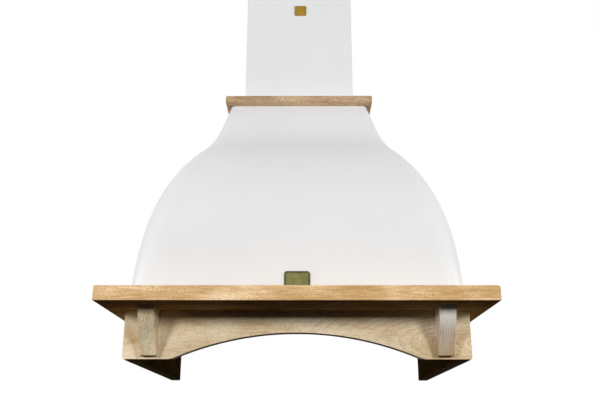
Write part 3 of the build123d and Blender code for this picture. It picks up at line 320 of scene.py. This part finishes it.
def beech(
    name, grain, tones, trunk, trunk_turn, ring_gap, ring_depth,
    dash_depth=0.5, wave=2.0, under_shade=0.72, stretch=9.0, late_share=0.16,
    painted_foot_shade=None, ringed_from=None,
):
    """Beech with its grain along an axis, cut from a trunk at a given place and tilt.

    under_shade is how dark the painted shade on the undersides gets, stretch how many times
    longer than wide the streaks are, and late_share how much of a ring is late wood.
    painted_foot_shade darkens the foot of a corbel with painted shade, and ringed_from gives
    the two places along a board between which the rings fade in.
    """
    pale, mid, dark = tones
    f = Finish(name, specular=0.0, coat_rough=0.42)

    def stretched(times):
        return f.place(turn=AXIS_TURN[grain], scale=(times, 1.0, 1.0))

    long_grain = stretched(stretch)
    streaks = f.noise(long_grain, 300.0, detail=5.0, rough=0.62)
    clouds = f.noise(stretched(3.0), 34.0)
    tone = f.maths("ADD", f.maths("MULTIPLY", streaks, 0.42), f.maths("MULTIPLY", clouds, 0.58))
    colour = f.ramp(f.span(tone, 0.38, 0.62), (0.0, dark), (0.5, mid), (1.0, pale))
    line_colour = tuple(part * share for part, share in zip(dark, LINE_SHARE))

    ring = f.node(
        "TexWave", output=1,
        settings={"wave_type": "RINGS", "rings_direction": "X", "wave_profile": "SAW"},
        vector=f.place(location=trunk, turn=trunk_turn), scale=WAVE_PITCH / ring_gap,
        distortion=wave, detail=2.0,
    )
    slow, sudden = f.span(ring, 0.30, 1.0, 0.0, 0.30), f.span(ring, 1 - late_share, 0.97, 0.0, 0.70)
    late = f.maths("ADD", slow, sudden)
    patches = f.span(f.noise(long_grain, 50.0, detail=2.0), 0.40, 0.60, 0.25, 1.0)
    late = f.maths("MULTIPLY", late, patches)
    if ringed_from:
        late = f.maths("MULTIPLY", late, f.span(f.along("X"), *ringed_from, 0.22, 1.0))
    colour = f.blend(f.maths("MULTIPLY", late, ring_depth), colour, line_colour)

    dashes = f.span(f.noise(stretched(stretch * 0.55), 1250.0, detail=1.0, rough=0.4), 0.55, 0.64)
    colour = f.blend(f.maths("MULTIPLY", dashes, dash_depth), colour, line_colour)
    # painted shade: the corbel is darker and browner towards its foot
    if painted_foot_shade:
        tint = f.ramp(f.span(f.along("Z"), *CORBEL_HEIGHTS), (0.0, painted_foot_shade), (1.0, WHITE))
        colour = f.blend(1.0, colour, tint, how="MULTIPLY")
    lacquer = LACQUER
    # painted shade: undersides and faces turned inwards are darkened, and they get no lacquer
    if under_shade:
        shade_amount = painted_shade_amount(f, under_shade)
        colour = f.blend(shade_amount, colour, f.blend(1.0, colour, PAINTED_SHADE_TONE, how="MULTIPLY"))
        lacquer = f.span(shade_amount, 0.0, 0.4, LACQUER, 0.0)
    pores = f.maths("SUBTRACT", f.maths("MULTIPLY", streaks, 0.5), dashes)
    shine = f.span(streaks, 0.3, 0.7, 0.66, 0.54)
    return f.done(color=colour, rough=shine, coat=lacquer, normal=f.bump(pores, 0.00012, 0.35))


# the pale, the middle and the dark tone of each kind of board
golden = ((1.0, 0.76, 0.47), (0.81, 0.54, 0.28), (0.60, 0.37, 0.15))
blond = ((0.98, 0.83, 0.60), (0.86, 0.695, 0.46), (0.69, 0.51, 0.29))
greyish = ((1.0, 0.86, 0.62), (0.84, 0.70, 0.47), (0.62, 0.47, 0.29))
whitish = ((1.0, 0.98, 0.91), (1.0, 0.95, 0.85), (0.90, 0.79, 0.62))
brown = ((0.68, 0.49, 0.31), (0.565, 0.39, 0.24), (0.41, 0.275, 0.15))

shelf_wood = beech("shelf_beech", "X", golden, (0.1, -0.46, -0.30), (0, 2.5, 1.5), 0.0052, 0.35)
shelf_side_wood = beech(
    "shelf_side_beech", "Y", golden, (0.3, -0.2, -0.30), (0, 2.0, 91.5), 0.0052, 0.35,
)
apron_wood = beech(
    "apron_beech", "X", blond, (0.30, -0.4472, -0.432), (0, 1.5, 15.0), 0.0046, 0.55,
    dash_depth=0.32, wave=2.6, ringed_from=(-0.16, 0.10),
)
apron_side_wood = beech(
    "apron_side_beech", "Y", blond, (0.25, -0.2, -0.50), (0, 3.0, 88.0), 0.0042, 0.45,
    dash_depth=0.4, under_shade=0.45,
)
collar_wood = beech(
    "collar_beech", "X", brown, (0, -0.19, 0.02), (0, 1.0, 2.0), 0.0040, 0.35,
    dash_depth=0.8, under_shade=0,
)
collar_side_wood = beech(
    "collar_side_beech", "Y", brown, (0.1, -0.1, 0.02), (0, 1.0, 91.0), 0.0040, 0.35,
    dash_depth=0.8, under_shade=0,
)
left_corbel_wood = beech(
    "left_corbel_beech", "Z", greyish, (-0.31, -0.47, -0.41), (0, 87, 0), 0.0036, 0.60,
    dash_depth=0.45, wave=2.2, under_shade=0, stretch=20.0, late_share=0.35,
)
# the right corbel gets painted shade towards its foot
right_corbel_wood = beech(
    "right_corbel_beech", "Z", whitish, (0.31, -0.49, -0.33), (0, 84, 0), 0.0040, 0.95,
    dash_depth=0.3, wave=2.6, under_shade=0, stretch=20.0, late_share=0.40, painted_foot_shade=(0.62, 0.49, 0.34),
)
tenon_wood = beech(
    "tenon_beech", "Z", blond, (0, -0.5, -0.38), (0, 88, 0), 0.003, 0.3, under_shade=0,
)
print("timber finishes made")

# %% [markdown]
# ## Enamel, metals and plastics
# Enamel on sheet steel is smooth but never perfect: very fine orange peel breaks up its
# reflections. Zinc-plated sheet shows large soft crystals, which a Voronoi pattern gives.
# Aluminium parts are brushed, and moulded plastics have a fine grain. The filter's expanded mesh
# is a diamond pattern made of two crossing waves: it would be hundreds of thousands of faces as
# real strands, and at arm's length the eye reads the pattern, not the holes.

# %% Make the other finishes


def shaded(tint, share):
    """The same tone, a little darker."""
    return tuple(part * share for part in tint)


def enamel():
    f = Finish("white_enamel", specular=0.4)
    peel = f.noise(f.coords, 420.0, detail=2.0)
    colour = f.soft_ramp(f.noise(f.coords, 5.0), (0.762, 0.766, 0.772), (0.788, 0.791, 0.796))
    shine = f.span(f.noise(f.coords, 30.0, detail=4.0), 0.3, 0.7, 0.36, 0.46)
    return f.done(color=colour, rough=shine, normal=f.bump(peel, 0.00004, 0.35))


def zinc(name, tint, crystal):
    f = Finish(name, metallic=0.9)
    cells = f.node("TexVoronoi", output="Color", vector=f.coords, scale=crystal)
    grey = f.node("RGBToBW", Color=cells)
    colour = f.ramp(grey, (0.0, shaded(tint, 0.82)), (1.0, tint))
    return f.done(color=colour, rough=f.span(grey, 0.0, 1.0, 0.38, 0.55))


def brushed(name, tint, grain="X", rough=0.36):
    f = Finish(name, metallic=1.0)
    lines = f.noise(f.place(turn=AXIS_TURN[grain], scale=(40.0, 1.0, 1.0)), 1500.0, rough=0.7)
    colour = f.soft_ramp(lines, shaded(tint, 0.86), tint, 0.3, 0.7)
    shine = f.span(lines, 0.3, 0.7, rough - 0.08, rough + 0.10)
    return f.done(color=colour, rough=shine, normal=f.bump(lines, 0.00002, 0.4))


def moulded(name, tint, rough=0.5, depth=0.00004):
    f = Finish(name, specular=0.42)
    skin = f.noise(f.coords, 900.0, detail=2.0)
    cloud = f.noise(f.coords, 18.0)
    shine = f.span(cloud, 0.3, 0.7, rough - 0.05, rough + 0.06)
    colour = f.soft_ramp(cloud, shaded(tint, 0.9), tint)
    return f.done(color=colour, rough=shine, normal=f.bump(skin, depth, 0.5))


def expanded_mesh(strand_gap=0.0042, slant=0.55):
    """Two slanted sets of waves: what either of them raises is a strand."""
    f = Finish("filter_mesh", metallic=0.85)
    across, slanted = f.along("X"), f.maths("MULTIPLY", f.along("Y"), slant)
    strands = []
    for operation in ("ADD", "SUBTRACT"):
        turns = f.maths("MULTIPLY", f.maths(operation, across, slanted), 2 * math.pi / strand_gap)
        strands.append(f.span(f.maths("SINE", turns), 0.45, 0.85))
    strand = f.maths("MAXIMUM", *strands)
    metal = f.soft_ramp(f.noise(f.coords, 40.0, detail=4.0), (0.56, 0.56, 0.55), (0.70, 0.70, 0.71))
    # the gaps between the strands are painted dark: painted shade of the hood's inside, seen
    # through the holes
    colour = f.blend(strand, (0.07, 0.07, 0.07), metal)
    shine = f.span(strand, 0.0, 1.0, 0.75, 0.34)
    return f.done(color=colour, rough=shine, normal=f.bump(strand, 0.0006, 0.7))


def old_metal(name, light, deep):
    f = Finish(name, metallic=0.3, specular=0.2)
    lines = f.noise(f.place(scale=(30.0, 1.0, 1.0)), 1400.0, detail=2.0)
    colour = f.soft_ramp(f.noise(f.coords, 90.0, detail=5.0, rough=0.6), deep, light)
    shine = f.span(lines, 0.3, 0.7, 0.34, 0.50)
    return f.done(color=colour, rough=shine, normal=f.bump(lines, 0.00002, 0.5))


def frosted_glass():
    f = Finish("frosted_glass", transmission=0.75, ior=1.49, specular=0.5)
    etch = f.noise(f.coords, 1200.0, detail=2.0)
    cloud = f.noise(f.coords, 60.0, detail=2.0)
    colour = f.soft_ramp(cloud, (0.90, 0.91, 0.90), (0.95, 0.95, 0.94))
    shine = f.span(etch, 0.3, 0.7, 0.30, 0.48)
    return f.done(color=colour, rough=shine, normal=f.bump(etch, 0.00003, 0.6))


white_enamel = enamel()
zinc_sheet = zinc("zinc_sheet", (0.60, 0.61, 0.62), 120.0)
wheel_steel = zinc("wheel_steel", (0.56, 0.57, 0.58), 260.0)
screw_steel = brushed("screw_steel", (0.62, 0.62, 0.63), rough=0.30)
pin_steel = brushed("pin_steel", (0.66, 0.66, 0.67), rough=0.25)
frame_aluminium = brushed("frame_aluminium", (0.72, 0.73, 0.74), rough=0.33)
can_aluminium = brushed("can_aluminium", (0.68, 0.69, 0.70), grain="Z", rough=0.30)
lamp_aluminium = brushed("lamp_aluminium", (0.60, 0.61, 0.62), grain="Z", rough=0.42)
lamp_chrome = brushed("lamp_chrome", (0.82, 0.82, 0.83), rough=0.20)
mesh_metal = expanded_mesh()
gold_plate = old_metal("satin_gold", (0.40, 0.25, 0.022), (0.25, 0.15, 0.015))
bronze_plate = old_metal("olive_bronze", (0.21, 0.205, 0.075), (0.15, 0.145, 0.05))
bronze_rim = old_metal("dark_bronze", (0.11, 0.115, 0.048), (0.065, 0.07, 0.03))
grey_plastic = moulded("grey_plastic", (0.17, 0.175, 0.18))
damper_plastic = moulded("damper_plastic", (0.06, 0.06, 0.065))
black_plastic = moulded("black_plastic", (0.030, 0.030, 0.033))
latch_plastic = moulded("latch_plastic", (0.035, 0.035, 0.038), rough=0.42)
rubber = moulded("black_rubber", (0.018, 0.018, 0.018), rough=0.72)
motor_paint = moulded("motor_paint", (0.10, 0.105, 0.115), rough=0.40)
control_plastic = moulded("control_plastic", (0.72, 0.72, 0.73), rough=0.46)
key_plastic = moulded("key_plastic", (0.80, 0.80, 0.80), rough=0.24, depth=0.00001)
lamp_glass = frosted_glass()

# %% [markdown]
# ## Finishing a piece
# A new mesh needs the same closing steps every time: smooth shading with crisp edges where two
# faces meet at an angle, normals that point out, a material, a body to ride on and the solid it
# stands for. One helper does it all, so that no piece is left half finished.

# %% The closing helper
pieces_made = []
record = frame["record"]
body_of_node = {
    node: body for body, members in record["behaviour"]["bodies"].items() for node in members
}


def finish_piece(name, bm, node, finishes, sharp=35.0, recalc=True):
    """Turns a bmesh into a finished object that stands for a node of the solid model."""
    if recalc:
        bmesh.ops.recalc_face_normals(bm, faces=bm.faces)
    for face in bm.faces:
        face.smooth = True
    for edge in bm.edges:
        edge.smooth = edge.is_manifold and edge.calc_face_angle(0) < math.radians(sharp)
    mesh = bpy.data.meshes.new(name)
    bm.to_mesh(mesh)
    bm.free()
    for finish in finishes:
        mesh.materials.append(finish)
    piece = bpy.data.objects.new(name, mesh)
    scene.collection.objects.link(piece)
    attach(piece, body_of_node[node])
    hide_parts(node)
    pieces_made.append(name)
    return piece


# %% [markdown]
# ## Rounded edges
# No real edge is perfectly sharp: sanded timber has about a millimetre of roundness and folded
# sheet a few tenths, and that thin strip is what catches the light. The easiest way is to copy the
# solid's own mesh, join its loose triangles, melt the flat ones together and bevel every edge
# sharper than a given angle. The solid itself stays untouched, and its place and size are kept,
# because a bevel only takes material away. Smooth shading across a thin bevel would throw faint
# diagonal shades over the big faces beside it, so a Weighted Normal modifier lets those decide.

# %% Soften copies of the boards, sheets and mouldings
TOUCHING = 1e-6                 # metres between points that are one
SAME_LEVEL = 1e-5               # and between points at one level


def merged_copy(node):
    """A solid's mesh as a bmesh of its own, with the loose triangles joined."""
    bm = bmesh.new()
    bm.from_mesh(nodes[node].data)
    bmesh.ops.remove_doubles(bm, verts=bm.verts, dist=TOUCHING)
    return bm


def rounded_copy(node, edge, flat=0.5, corner=30.0):
    """The same, with flat faces whole again and its sharp edges rounded by this many metres."""
    bm = merged_copy(node)
    bmesh.ops.dissolve_limit(bm, angle_limit=math.radians(flat), verts=bm.verts, edges=bm.edges)
    bmesh.ops.dissolve_degenerate(bm, dist=TOUCHING, edges=bm.edges)
    turns = math.radians(corner)
    sharp = [item for item in bm.edges if item.is_manifold and item.calc_face_angle(0) > turns]
    bmesh.ops.bevel(
        bm, geom=sharp, offset=edge, offset_type="OFFSET", segments=2, profile=0.5,
        affect="EDGES", clamp_overlap=True, material=-1,
    )
    return bm


def soften(node, edge, finish):
    """A softened piece in place of a solid, in which the large flat faces set the shading."""
    piece = finish_piece("soft_" + node, rounded_copy(node, edge), node, [finish], recalc=False)
    weights = piece.modifiers.new("even_shading", "WEIGHTED_NORMAL")
    weights.keep_sharp = True
    weights.weight = 100


timber_edge = 0.0007
timber = {
    "shelf_front_board": shelf_wood,
    "shelf_side_board_right": shelf_side_wood, "shelf_side_board_left": shelf_side_wood,
    "arched_apron": apron_wood,
    "apron_side_right": apron_side_wood, "apron_side_left": apron_side_wood,
    "corbel_right": right_corbel_wood, "corbel_left": left_corbel_wood,
    "collar_front": collar_wood,
    "collar_side_right": collar_side_wood, "collar_side_left": collar_side_wood,
}
for node, wood in timber.items():
    soften(node, timber_edge, wood)

sheets = {
    "chimney_lower": (white_enamel, 0.00012), "chimney_upper": (white_enamel, 0.00012),
    "bottom_panel": (white_enamel, 0.0002), "control_housing": (control_plastic, 0.0004),
    "filter_frame": (frame_aluminium, 0.0003), "filter_latch": (latch_plastic, 0.0004),
    "electrics_box": (black_plastic, 0.0006), "blower_brackets": (zinc_sheet, 0.0002),
    "chimney_bracket": (zinc_sheet, 0.0002), "chimney_angles": (zinc_sheet, 0.0002),
}
for node, (finish, edge) in sheets.items():
    soften(node, edge, finish)
print("softened", len(timber) + len(sheets), "solids")

# %% [markdown]
# ## The steel bell
# The bell is one sheet of steel, pressed so that its sides swing in from the shelf, bend back the
# other way at the shoulder and run into a straight neck. Its solid is built from flat bands, which
# is fine for its size but would show as facets in a glossy finish. Here the outline is drawn once
# as a row of vertices and extruded upwards in many small steps; after each step the new row is
# moved to where the curve says it belongs. The neck comes next, then a flange at the foot for the
# shelf screws, and solidifying gives the sheet its thickness inwards.

# %% Form the bell
shelf_top, bell_top, collar_top = -0.357, 0.080, 0.104
foot_half, foot_depth = 0.2724, 0.447
neck_half, neck_depth = 0.141, 0.2195
corner_radii = (0.025, 0.060, 0.010)      # foot, shoulder, neck
bend = (0.73, 0.367, -2.253, -1.291)      # share of the height, share of the spread, two slopes
sheet_thickness = 0.0012
flange_width = 0.040
rows = 72
side_steps, corner_steps, front_steps = 8, 14, 6


def cubic(t, start, end, start_slope, end_slope):
    rise = 3 * t**2 - 2 * t**3
    slopes = (t**3 - 2 * t**2 + t) * start_slope + (t**3 - t**2) * end_slope
    return start + (end - start) * rise + slopes


def spread(level):
    """How far the bell still stands out beyond the neck: 1 at the foot, 0 at the top."""
    turn_level, share, slope, last = bend
    if level < turn_level:
        return cubic(level / turn_level, 1, share, 0, slope * turn_level)
    rest = 1 - turn_level
    return cubic((level - turn_level) / rest, share, 0, slope * rest, last * rest)


def bell_row(level):
    """Plan outline at a level, from the wall on the right round the front to the wall again."""
    share = spread(level)
    half = neck_half + (foot_half - neck_half) * share
    depth = neck_depth + (foot_depth - neck_depth) * share
    foot, shoulder, neck = corner_radii
    swell = 4 * (shoulder - (foot + neck) / 2) * level * (1 - level)
    radius = foot * (1 - level) + neck * level + swell
    straight = depth - radius
    row = [(half, -straight * step / side_steps) for step in range(side_steps)]
    for step in range(corner_steps + 1):
        angle = math.pi / 2 * step / corner_steps
        along, out = radius * math.cos(angle), radius * math.sin(angle)
        row.append((half - radius + along, -straight - out))
    row += [((half - radius) * (1 - step / front_steps), -depth) for step in range(1, front_steps)]
    height = shelf_top + level * (bell_top - shelf_top)
    left = [(-x, y) for x, y in reversed(row)]
    return [Vector((x, y, height)) for x, y in row + [(0, -depth)] + left]


def extruded(bm, edges):
    """Extrudes edges in place and gives the new vertices and the new edges."""
    grown = bmesh.ops.extrude_edge_only(bm, edges=edges)["geom"]
    verts = [item for item in grown if isinstance(item, bmesh.types.BMVert)]
    return verts, [item for item in grown if isinstance(item, bmesh.types.BMEdge)]


def in_order(verts, edges):
    """The vertices of one open chain of edges, from its right end on."""
    own = set(edges)
    linked = {
        vert: [edge.other_vert(vert) for edge in vert.link_edges if edge in own] for vert in verts
    }
    ends = [vert for vert in verts if len(linked[vert]) == 1]
    chain = [max(ends, key=lambda vert: vert.co.x)]
    following = linked[chain[0]]
    while following:
        chain.append(following[0])
        following = [vert for vert in linked[chain[-1]] if vert is not chain[-2]]
    return chain


bm = bmesh.new()
foot_row = [bm.verts.new(point) for point in bell_row(0)]
edges = [bm.edges.new(pair) for pair in zip(foot_row, foot_row[1:])]
for step in range(1, rows + 1):
    verts, edges = extruded(bm, edges)
    for vert, point in zip(in_order(verts, edges), bell_row(step / rows)):
        vert.co = point
neck_verts, edges = extruded(bm, edges)
bmesh.ops.translate(bm, verts=neck_verts, vec=(0, 0, collar_top - bell_top))
bmesh.ops.recalc_face_normals(bm, faces=bm.faces)
front = max(bm.faces, key=lambda face: -face.calc_center_median().y)
if front.normal.y > 0:
    bmesh.ops.reverse_faces(bm, faces=bm.faces)

foot_edges = [
    edge for edge in bm.edges
    if edge.is_boundary and all(abs(vert.co.z - shelf_top) < TOUCHING for vert in edge.verts)
]
inner_half, inner_depth = foot_half - flange_width, foot_depth - flange_width
for vert in extruded(bm, foot_edges)[0]:
    vert.co.x = max(-inner_half, min(inner_half, vert.co.x))
    vert.co.y = max(-inner_depth, vert.co.y)
bmesh.ops.remove_doubles(bm, verts=bm.verts, dist=TOUCHING)
bmesh.ops.solidify(bm, geom=bm.faces[:], thickness=sheet_thickness)
bell = finish_piece("steel_bell", bm, "dome_shell", [white_enamel], sharp=40)
print("bell faces", len(bell.data.polygons))

# %% [markdown]
# ## Screw heads
# The hood is held together by screws, and from close by a screw is a low dome with a cross in it.
# The solids already say where each screw is, how long it is and which way it points, so the script
# reads that from their meshes and puts a detailed screw in the same place. The cross is an outline
# joined to the rim with a triangle fill and pushed down.

# %% Turn the screws
CROSS = [(0.45, 0.11), (0.11, 0.11), (0.11, 0.45), (-0.11, 0.45), (-0.11, 0.11), (-0.45, 0.11)]
CROSS += [(-x, -y) for x, y in CROSS]
# shares of the head's radius
HEAD_HEIGHT, RIM_HEIGHT, DOME_HEIGHT, PIT_DEPTH, CROSS_SIZE = 0.6, 0.28, 0.26, 0.34, 1.25
# how far the dome and the pit narrow
DOME_SHARE, PIT_SHARE = 0.82, 0.7


def islands(node):
    """The corner points of each separate solid in a node."""
    bm = merged_copy(node)
    seen, groups = set(), []
    for start in bm.verts:
        if start in seen:
            continue
        seen.add(start)
        stack, group = [start], []
        while stack:
            vert = stack.pop()
            group.append(vert.co.copy())
            for edge in vert.link_edges:
                other = edge.other_vert(vert)
                if other not in seen:
                    seen.add(other)
                    stack.append(other)
        groups.append(group)
    bm.free()
    return groups


def add_screw(bm, seat, direction, head, shank, length):
    """Cross-head screw: seat is under the head, direction points out of the head."""
    made = []

    def pulled(edges, rise=0.0, share=1.0):
        """Extrudes a ring, widens or narrows it and lifts it."""
        verts, edges = extruded(bm, edges)
        bmesh.ops.scale(bm, verts=verts, vec=(share, share, 1))
        bmesh.ops.translate(bm, verts=verts, vec=(0, 0, rise))
        made.extend(verts)
        return edges

    rim = bmesh.ops.create_circle(bm, segments=20, radius=head)["verts"]
    rim_edges = list({edge for vert in rim for edge in vert.link_edges})
    crown = pulled(rim_edges, head * RIM_HEIGHT)
    dome = pulled(crown, head * DOME_HEIGHT, DOME_SHARE)
    wide = head * CROSS_SIZE
    cross = [bm.verts.new((x * wide, y * wide, head * HEAD_HEIGHT)) for x, y in CROSS]
    cross_edges = [bm.edges.new((cross[i - 1], cross[i])) for i in range(len(cross))]
    bmesh.ops.triangle_fill(bm, edges=dome + cross_edges, use_beauty=True)
    bmesh.ops.contextual_create(bm, geom=pulled(cross_edges, -head * PIT_DEPTH, PIT_SHARE))
    neck = pulled(rim_edges, share=shank / head)
    bmesh.ops.contextual_create(bm, geom=pulled(neck, -length))
    aim = Vector((0, 0, 1)).rotation_difference(direction).to_matrix().to_4x4()
    bmesh.ops.transform(bm, matrix=Matrix.Translation(seat) @ aim, verts=made + rim + cross)


def place_screw(bm, points):
    """Reads from the points of a plain screw where it is and puts a detailed one there."""
    low, high = (Vector([pick(values) for values in zip(*points)]) for pick in (min, max))
    size = high - low
    axis = max(range(3), key=lambda i: size[i])
    across = (axis + 1) % 3
    near = [point[across] for point in points if point[axis] < low[axis] + SAME_LEVEL]
    far = [point[across] for point in points if point[axis] > high[axis] - SAME_LEVEL]
    width_near, width_far = max(near) - min(near), max(far) - min(far)
    head = max(size[i] for i in range(3) if i != axis) / 2
    tall = head * HEAD_HEIGHT
    seat, direction = (low + high) / 2, Vector((0, 0, 0))
    if width_far > width_near:
        direction[axis], seat[axis] = 1, high[axis] - tall
    else:
        direction[axis], seat[axis] = -1, low[axis] + tall
    add_screw(bm, seat, direction, head, min(width_near, width_far) / 2, size[axis] - tall)


for kind in ("panel", "chimney", "top", "shelf", "corbel", "collar", "bracket"):
    node = kind + "_screws"
    bm = bmesh.new()
    for points in islands(node):
        place_screw(bm, points)
    finish_piece("detailed_" + node, bm, node, [screw_steel], sharp=25)
print("screws turned")

# %% [markdown]
# ## Lamps
# Each lamp is a chrome rim round a frosted lens, with the lamp holder above. Round parts like
# these come off a lathe, and the spin operator is one: a profile of a few points is swung once
# round the axis. The lens has fine rings pressed into it, which spread the light.

# %% Turn the lamp rims and lenses
panel_level = -0.342
bezel_bore, bezel_reach = 0.0250, 0.0080
rim_profile = [
    (bezel_bore, bezel_reach), (bezel_bore, -0.0022), (0.0254, -0.0028), (0.0262, -0.0030),
    (0.0296, -0.0030), (0.0310, -0.0026), (0.0318, -0.0017), (0.0320, -0.0008), (0.0320, 0.0),
    (0.0275, 0.0), (0.0275, bezel_reach), (bezel_bore, bezel_reach),
]
ring_gap, ring_low, ring_high = 0.0026, -0.0014, -0.0008
lens_profile = [(0.0, -0.0011)]
for ring in range(1, 9):
    lens_profile += [(ring_gap * ring - 0.0004, ring_low), (ring_gap * ring, ring_high)]
lens_profile += [(0.0238, ring_low), (0.0246, ring_high), (0.0247, 0.0014), (0.0, 0.0015)]


def lathe(profile, centre, steps):
    """Swings a profile of (radius, height) points once round a vertical axis."""
    bm = bmesh.new()
    verts = [bm.verts.new(centre + Vector((radius, 0, height))) for radius, height in profile]
    edges = [bm.edges.new(pair) for pair in zip(verts, verts[1:])]
    bmesh.ops.spin(
        bm, geom=verts + edges, cent=centre, axis=(0, 0, 1), angle=2 * math.pi, steps=steps,
        use_merge=True,
    )
    bmesh.ops.remove_doubles(bm, verts=bm.verts, dist=TOUCHING)
    return bm


for side in ("right", "left"):
    bezel, lens = "lamp_bezel_" + side, "lamp_lens_" + side
    low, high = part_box(bezel)
    centre = Vector(((low[0] + high[0]) / 2, (low[1] + high[1]) / 2, panel_level))
    rim = lathe(rim_profile, centre, 64)
    finish_piece("lamp_rim_" + side, rim, bezel, [lamp_chrome], sharp=28)
    finish_piece(lens + "_pressed", lathe(lens_profile, centre, 48), lens, [lamp_glass], sharp=60)
print("lamps turned")

# %% [markdown]
# ## Push keys
# Five keys stand in a row under the front of the hood. A moulded key has rounded corners and a
# slight dish where the finger rests. The edges are bevelled first; then the lower face is inset
# twice and its innermost part moves up a little.

# %% Mould the keys
key_edge = 0.0003
key_borders = (0.0016, 0.0014)
dish_depth = 0.0005
for index in range(1, 6):
    node = f"key_{index}"
    bm = rounded_copy(node, key_edge)
    lowest = min(vert.co.z for vert in bm.verts)
    lower = [face for face in bm.faces if abs(face.calc_center_median().z - lowest) < SAME_LEVEL]
    pad = max(lower, key=lambda face: face.calc_area())
    for border in key_borders:
        bmesh.ops.inset_individual(bm, faces=[pad], thickness=border, depth=0)
    bmesh.ops.translate(bm, verts=pad.verts[:], vec=(0, 0, dish_depth))
    finish_piece("moulded_" + node, bm, node, [key_plastic], recalc=False)
print("keys moulded")

# %% [markdown]
# ## Two bare plates
# The hood carries two small metal plates, one at the foot of the bell and one near the top of the
# chimney. They are made bare: a blank with rounded corners and a raised rim. A rounded rectangle
# is a square with its four corners bevelled; the rim comes from an inset that is pushed back.

# %% Stamp the plates
plate_thickness = 0.0012
rim_slope = 0.0003              # width of the slanted strip on each side of the raised rim


def stamped_plate(name, node, field, rim, rim_width, rise, corner, rounds):
    """Plate that takes its place and tilt from the solid it stands for."""
    solid = merged_copy(node)
    back = max(solid.faces, key=lambda face: face.normal.y * face.calc_area())
    lean = math.atan2(-back.normal.z, back.normal.y)
    solid.free()
    low, high = (Vector(point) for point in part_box(node))
    width, tall = high.x - low.x, high.z - low.z
    height = (tall - plate_thickness * abs(math.sin(lean))) / math.cos(lean)
    bm = bmesh.new()
    bmesh.ops.create_grid(bm, x_segments=1, y_segments=1, size=0.5)
    bmesh.ops.scale(bm, vec=(width, height, 1), verts=bm.verts)
    bmesh.ops.bevel(
        bm, geom=bm.verts[:], offset=corner, offset_type="OFFSET", segments=rounds, profile=0.5,
        affect="VERTICES", material=-1,
    )
    slab = bmesh.ops.extrude_face_region(bm, geom=bm.faces[:])["geom"]
    top = [item for item in slab if isinstance(item, bmesh.types.BMFace)][0]
    bmesh.ops.translate(bm, verts=top.verts[:], vec=(0, 0, plate_thickness))
    for border in (rim_slope, rim_width, rim_slope):
        bmesh.ops.inset_individual(bm, faces=[top], thickness=border, depth=0)
    bmesh.ops.translate(bm, verts=top.verts[:], vec=(0, 0, -rise))
    bmesh.ops.recalc_face_normals(bm, faces=bm.faces)
    for face in bm.faces:
        face.material_index = 1
    top.material_index = 0
    # stand the plate up, lean it with the surface behind it and put it in place
    bmesh.ops.translate(bm, verts=bm.verts, vec=(0, 0, -plate_thickness / 2))
    turn = Matrix.Rotation(math.radians(90) - lean, 4, "X")
    bmesh.ops.transform(bm, matrix=Matrix.Translation((low + high) / 2) @ turn, verts=bm.verts)
    print(name, "leans", round(math.degrees(lean), 2), "size", round(width, 4), round(height, 4))
    finish_piece(name, bm, node, [field, rim], sharp=25)


stamped_plate(
    "bell_plate", "dome_plate", bronze_plate, bronze_rim,
    rim_width=0.0030, rise=0.0006, corner=0.0032, rounds=1,
)
stamped_plate(
    "flue_plate", "chimney_plate", gold_plate, gold_plate,
    rim_width=0.0010, rise=0.0004, corner=0.0034, rounds=5,
)

# %% [markdown]
# ## Finishes for the solids that stay
# Many inner parts are already right in shape: the fan scroll, the wheel, the motor, the damper,
# the zinc-plated back. They keep their solids and only get their finish, by writing it into the
# material slots of the object.

# %% Hand out the remaining finishes
kept_solids = {
    zinc_sheet: ("back_panel", "top_plate", "motor_bracket"),
    wheel_steel: ("impeller", "impeller_blades"),
    pin_steel: ("motor_shaft", "damper_pin"),
    grey_plastic: ("scroll_right", "scroll_left", "outlet_adapter", "outlet_spigot"),
    damper_plastic: ("damper_flap_front", "damper_flap_rear"),
    rubber: ("cable_gland",),
    motor_paint: ("motor_body",),
    can_aluminium: ("capacitor",),
    mesh_metal: ("filter_mesh",),
    lamp_aluminium: ("lamp_body_right", "lamp_body_left"),
    tenon_wood: ("timber_tenons",),
}
for finish, names in kept_solids.items():
    for name in names:
        for slot in nodes[name].material_slots:
            slot.material = finish
kept_count = sum(len(names) for names in kept_solids.values())
print("pieces made:", len(pieces_made), "solids kept:", kept_count)
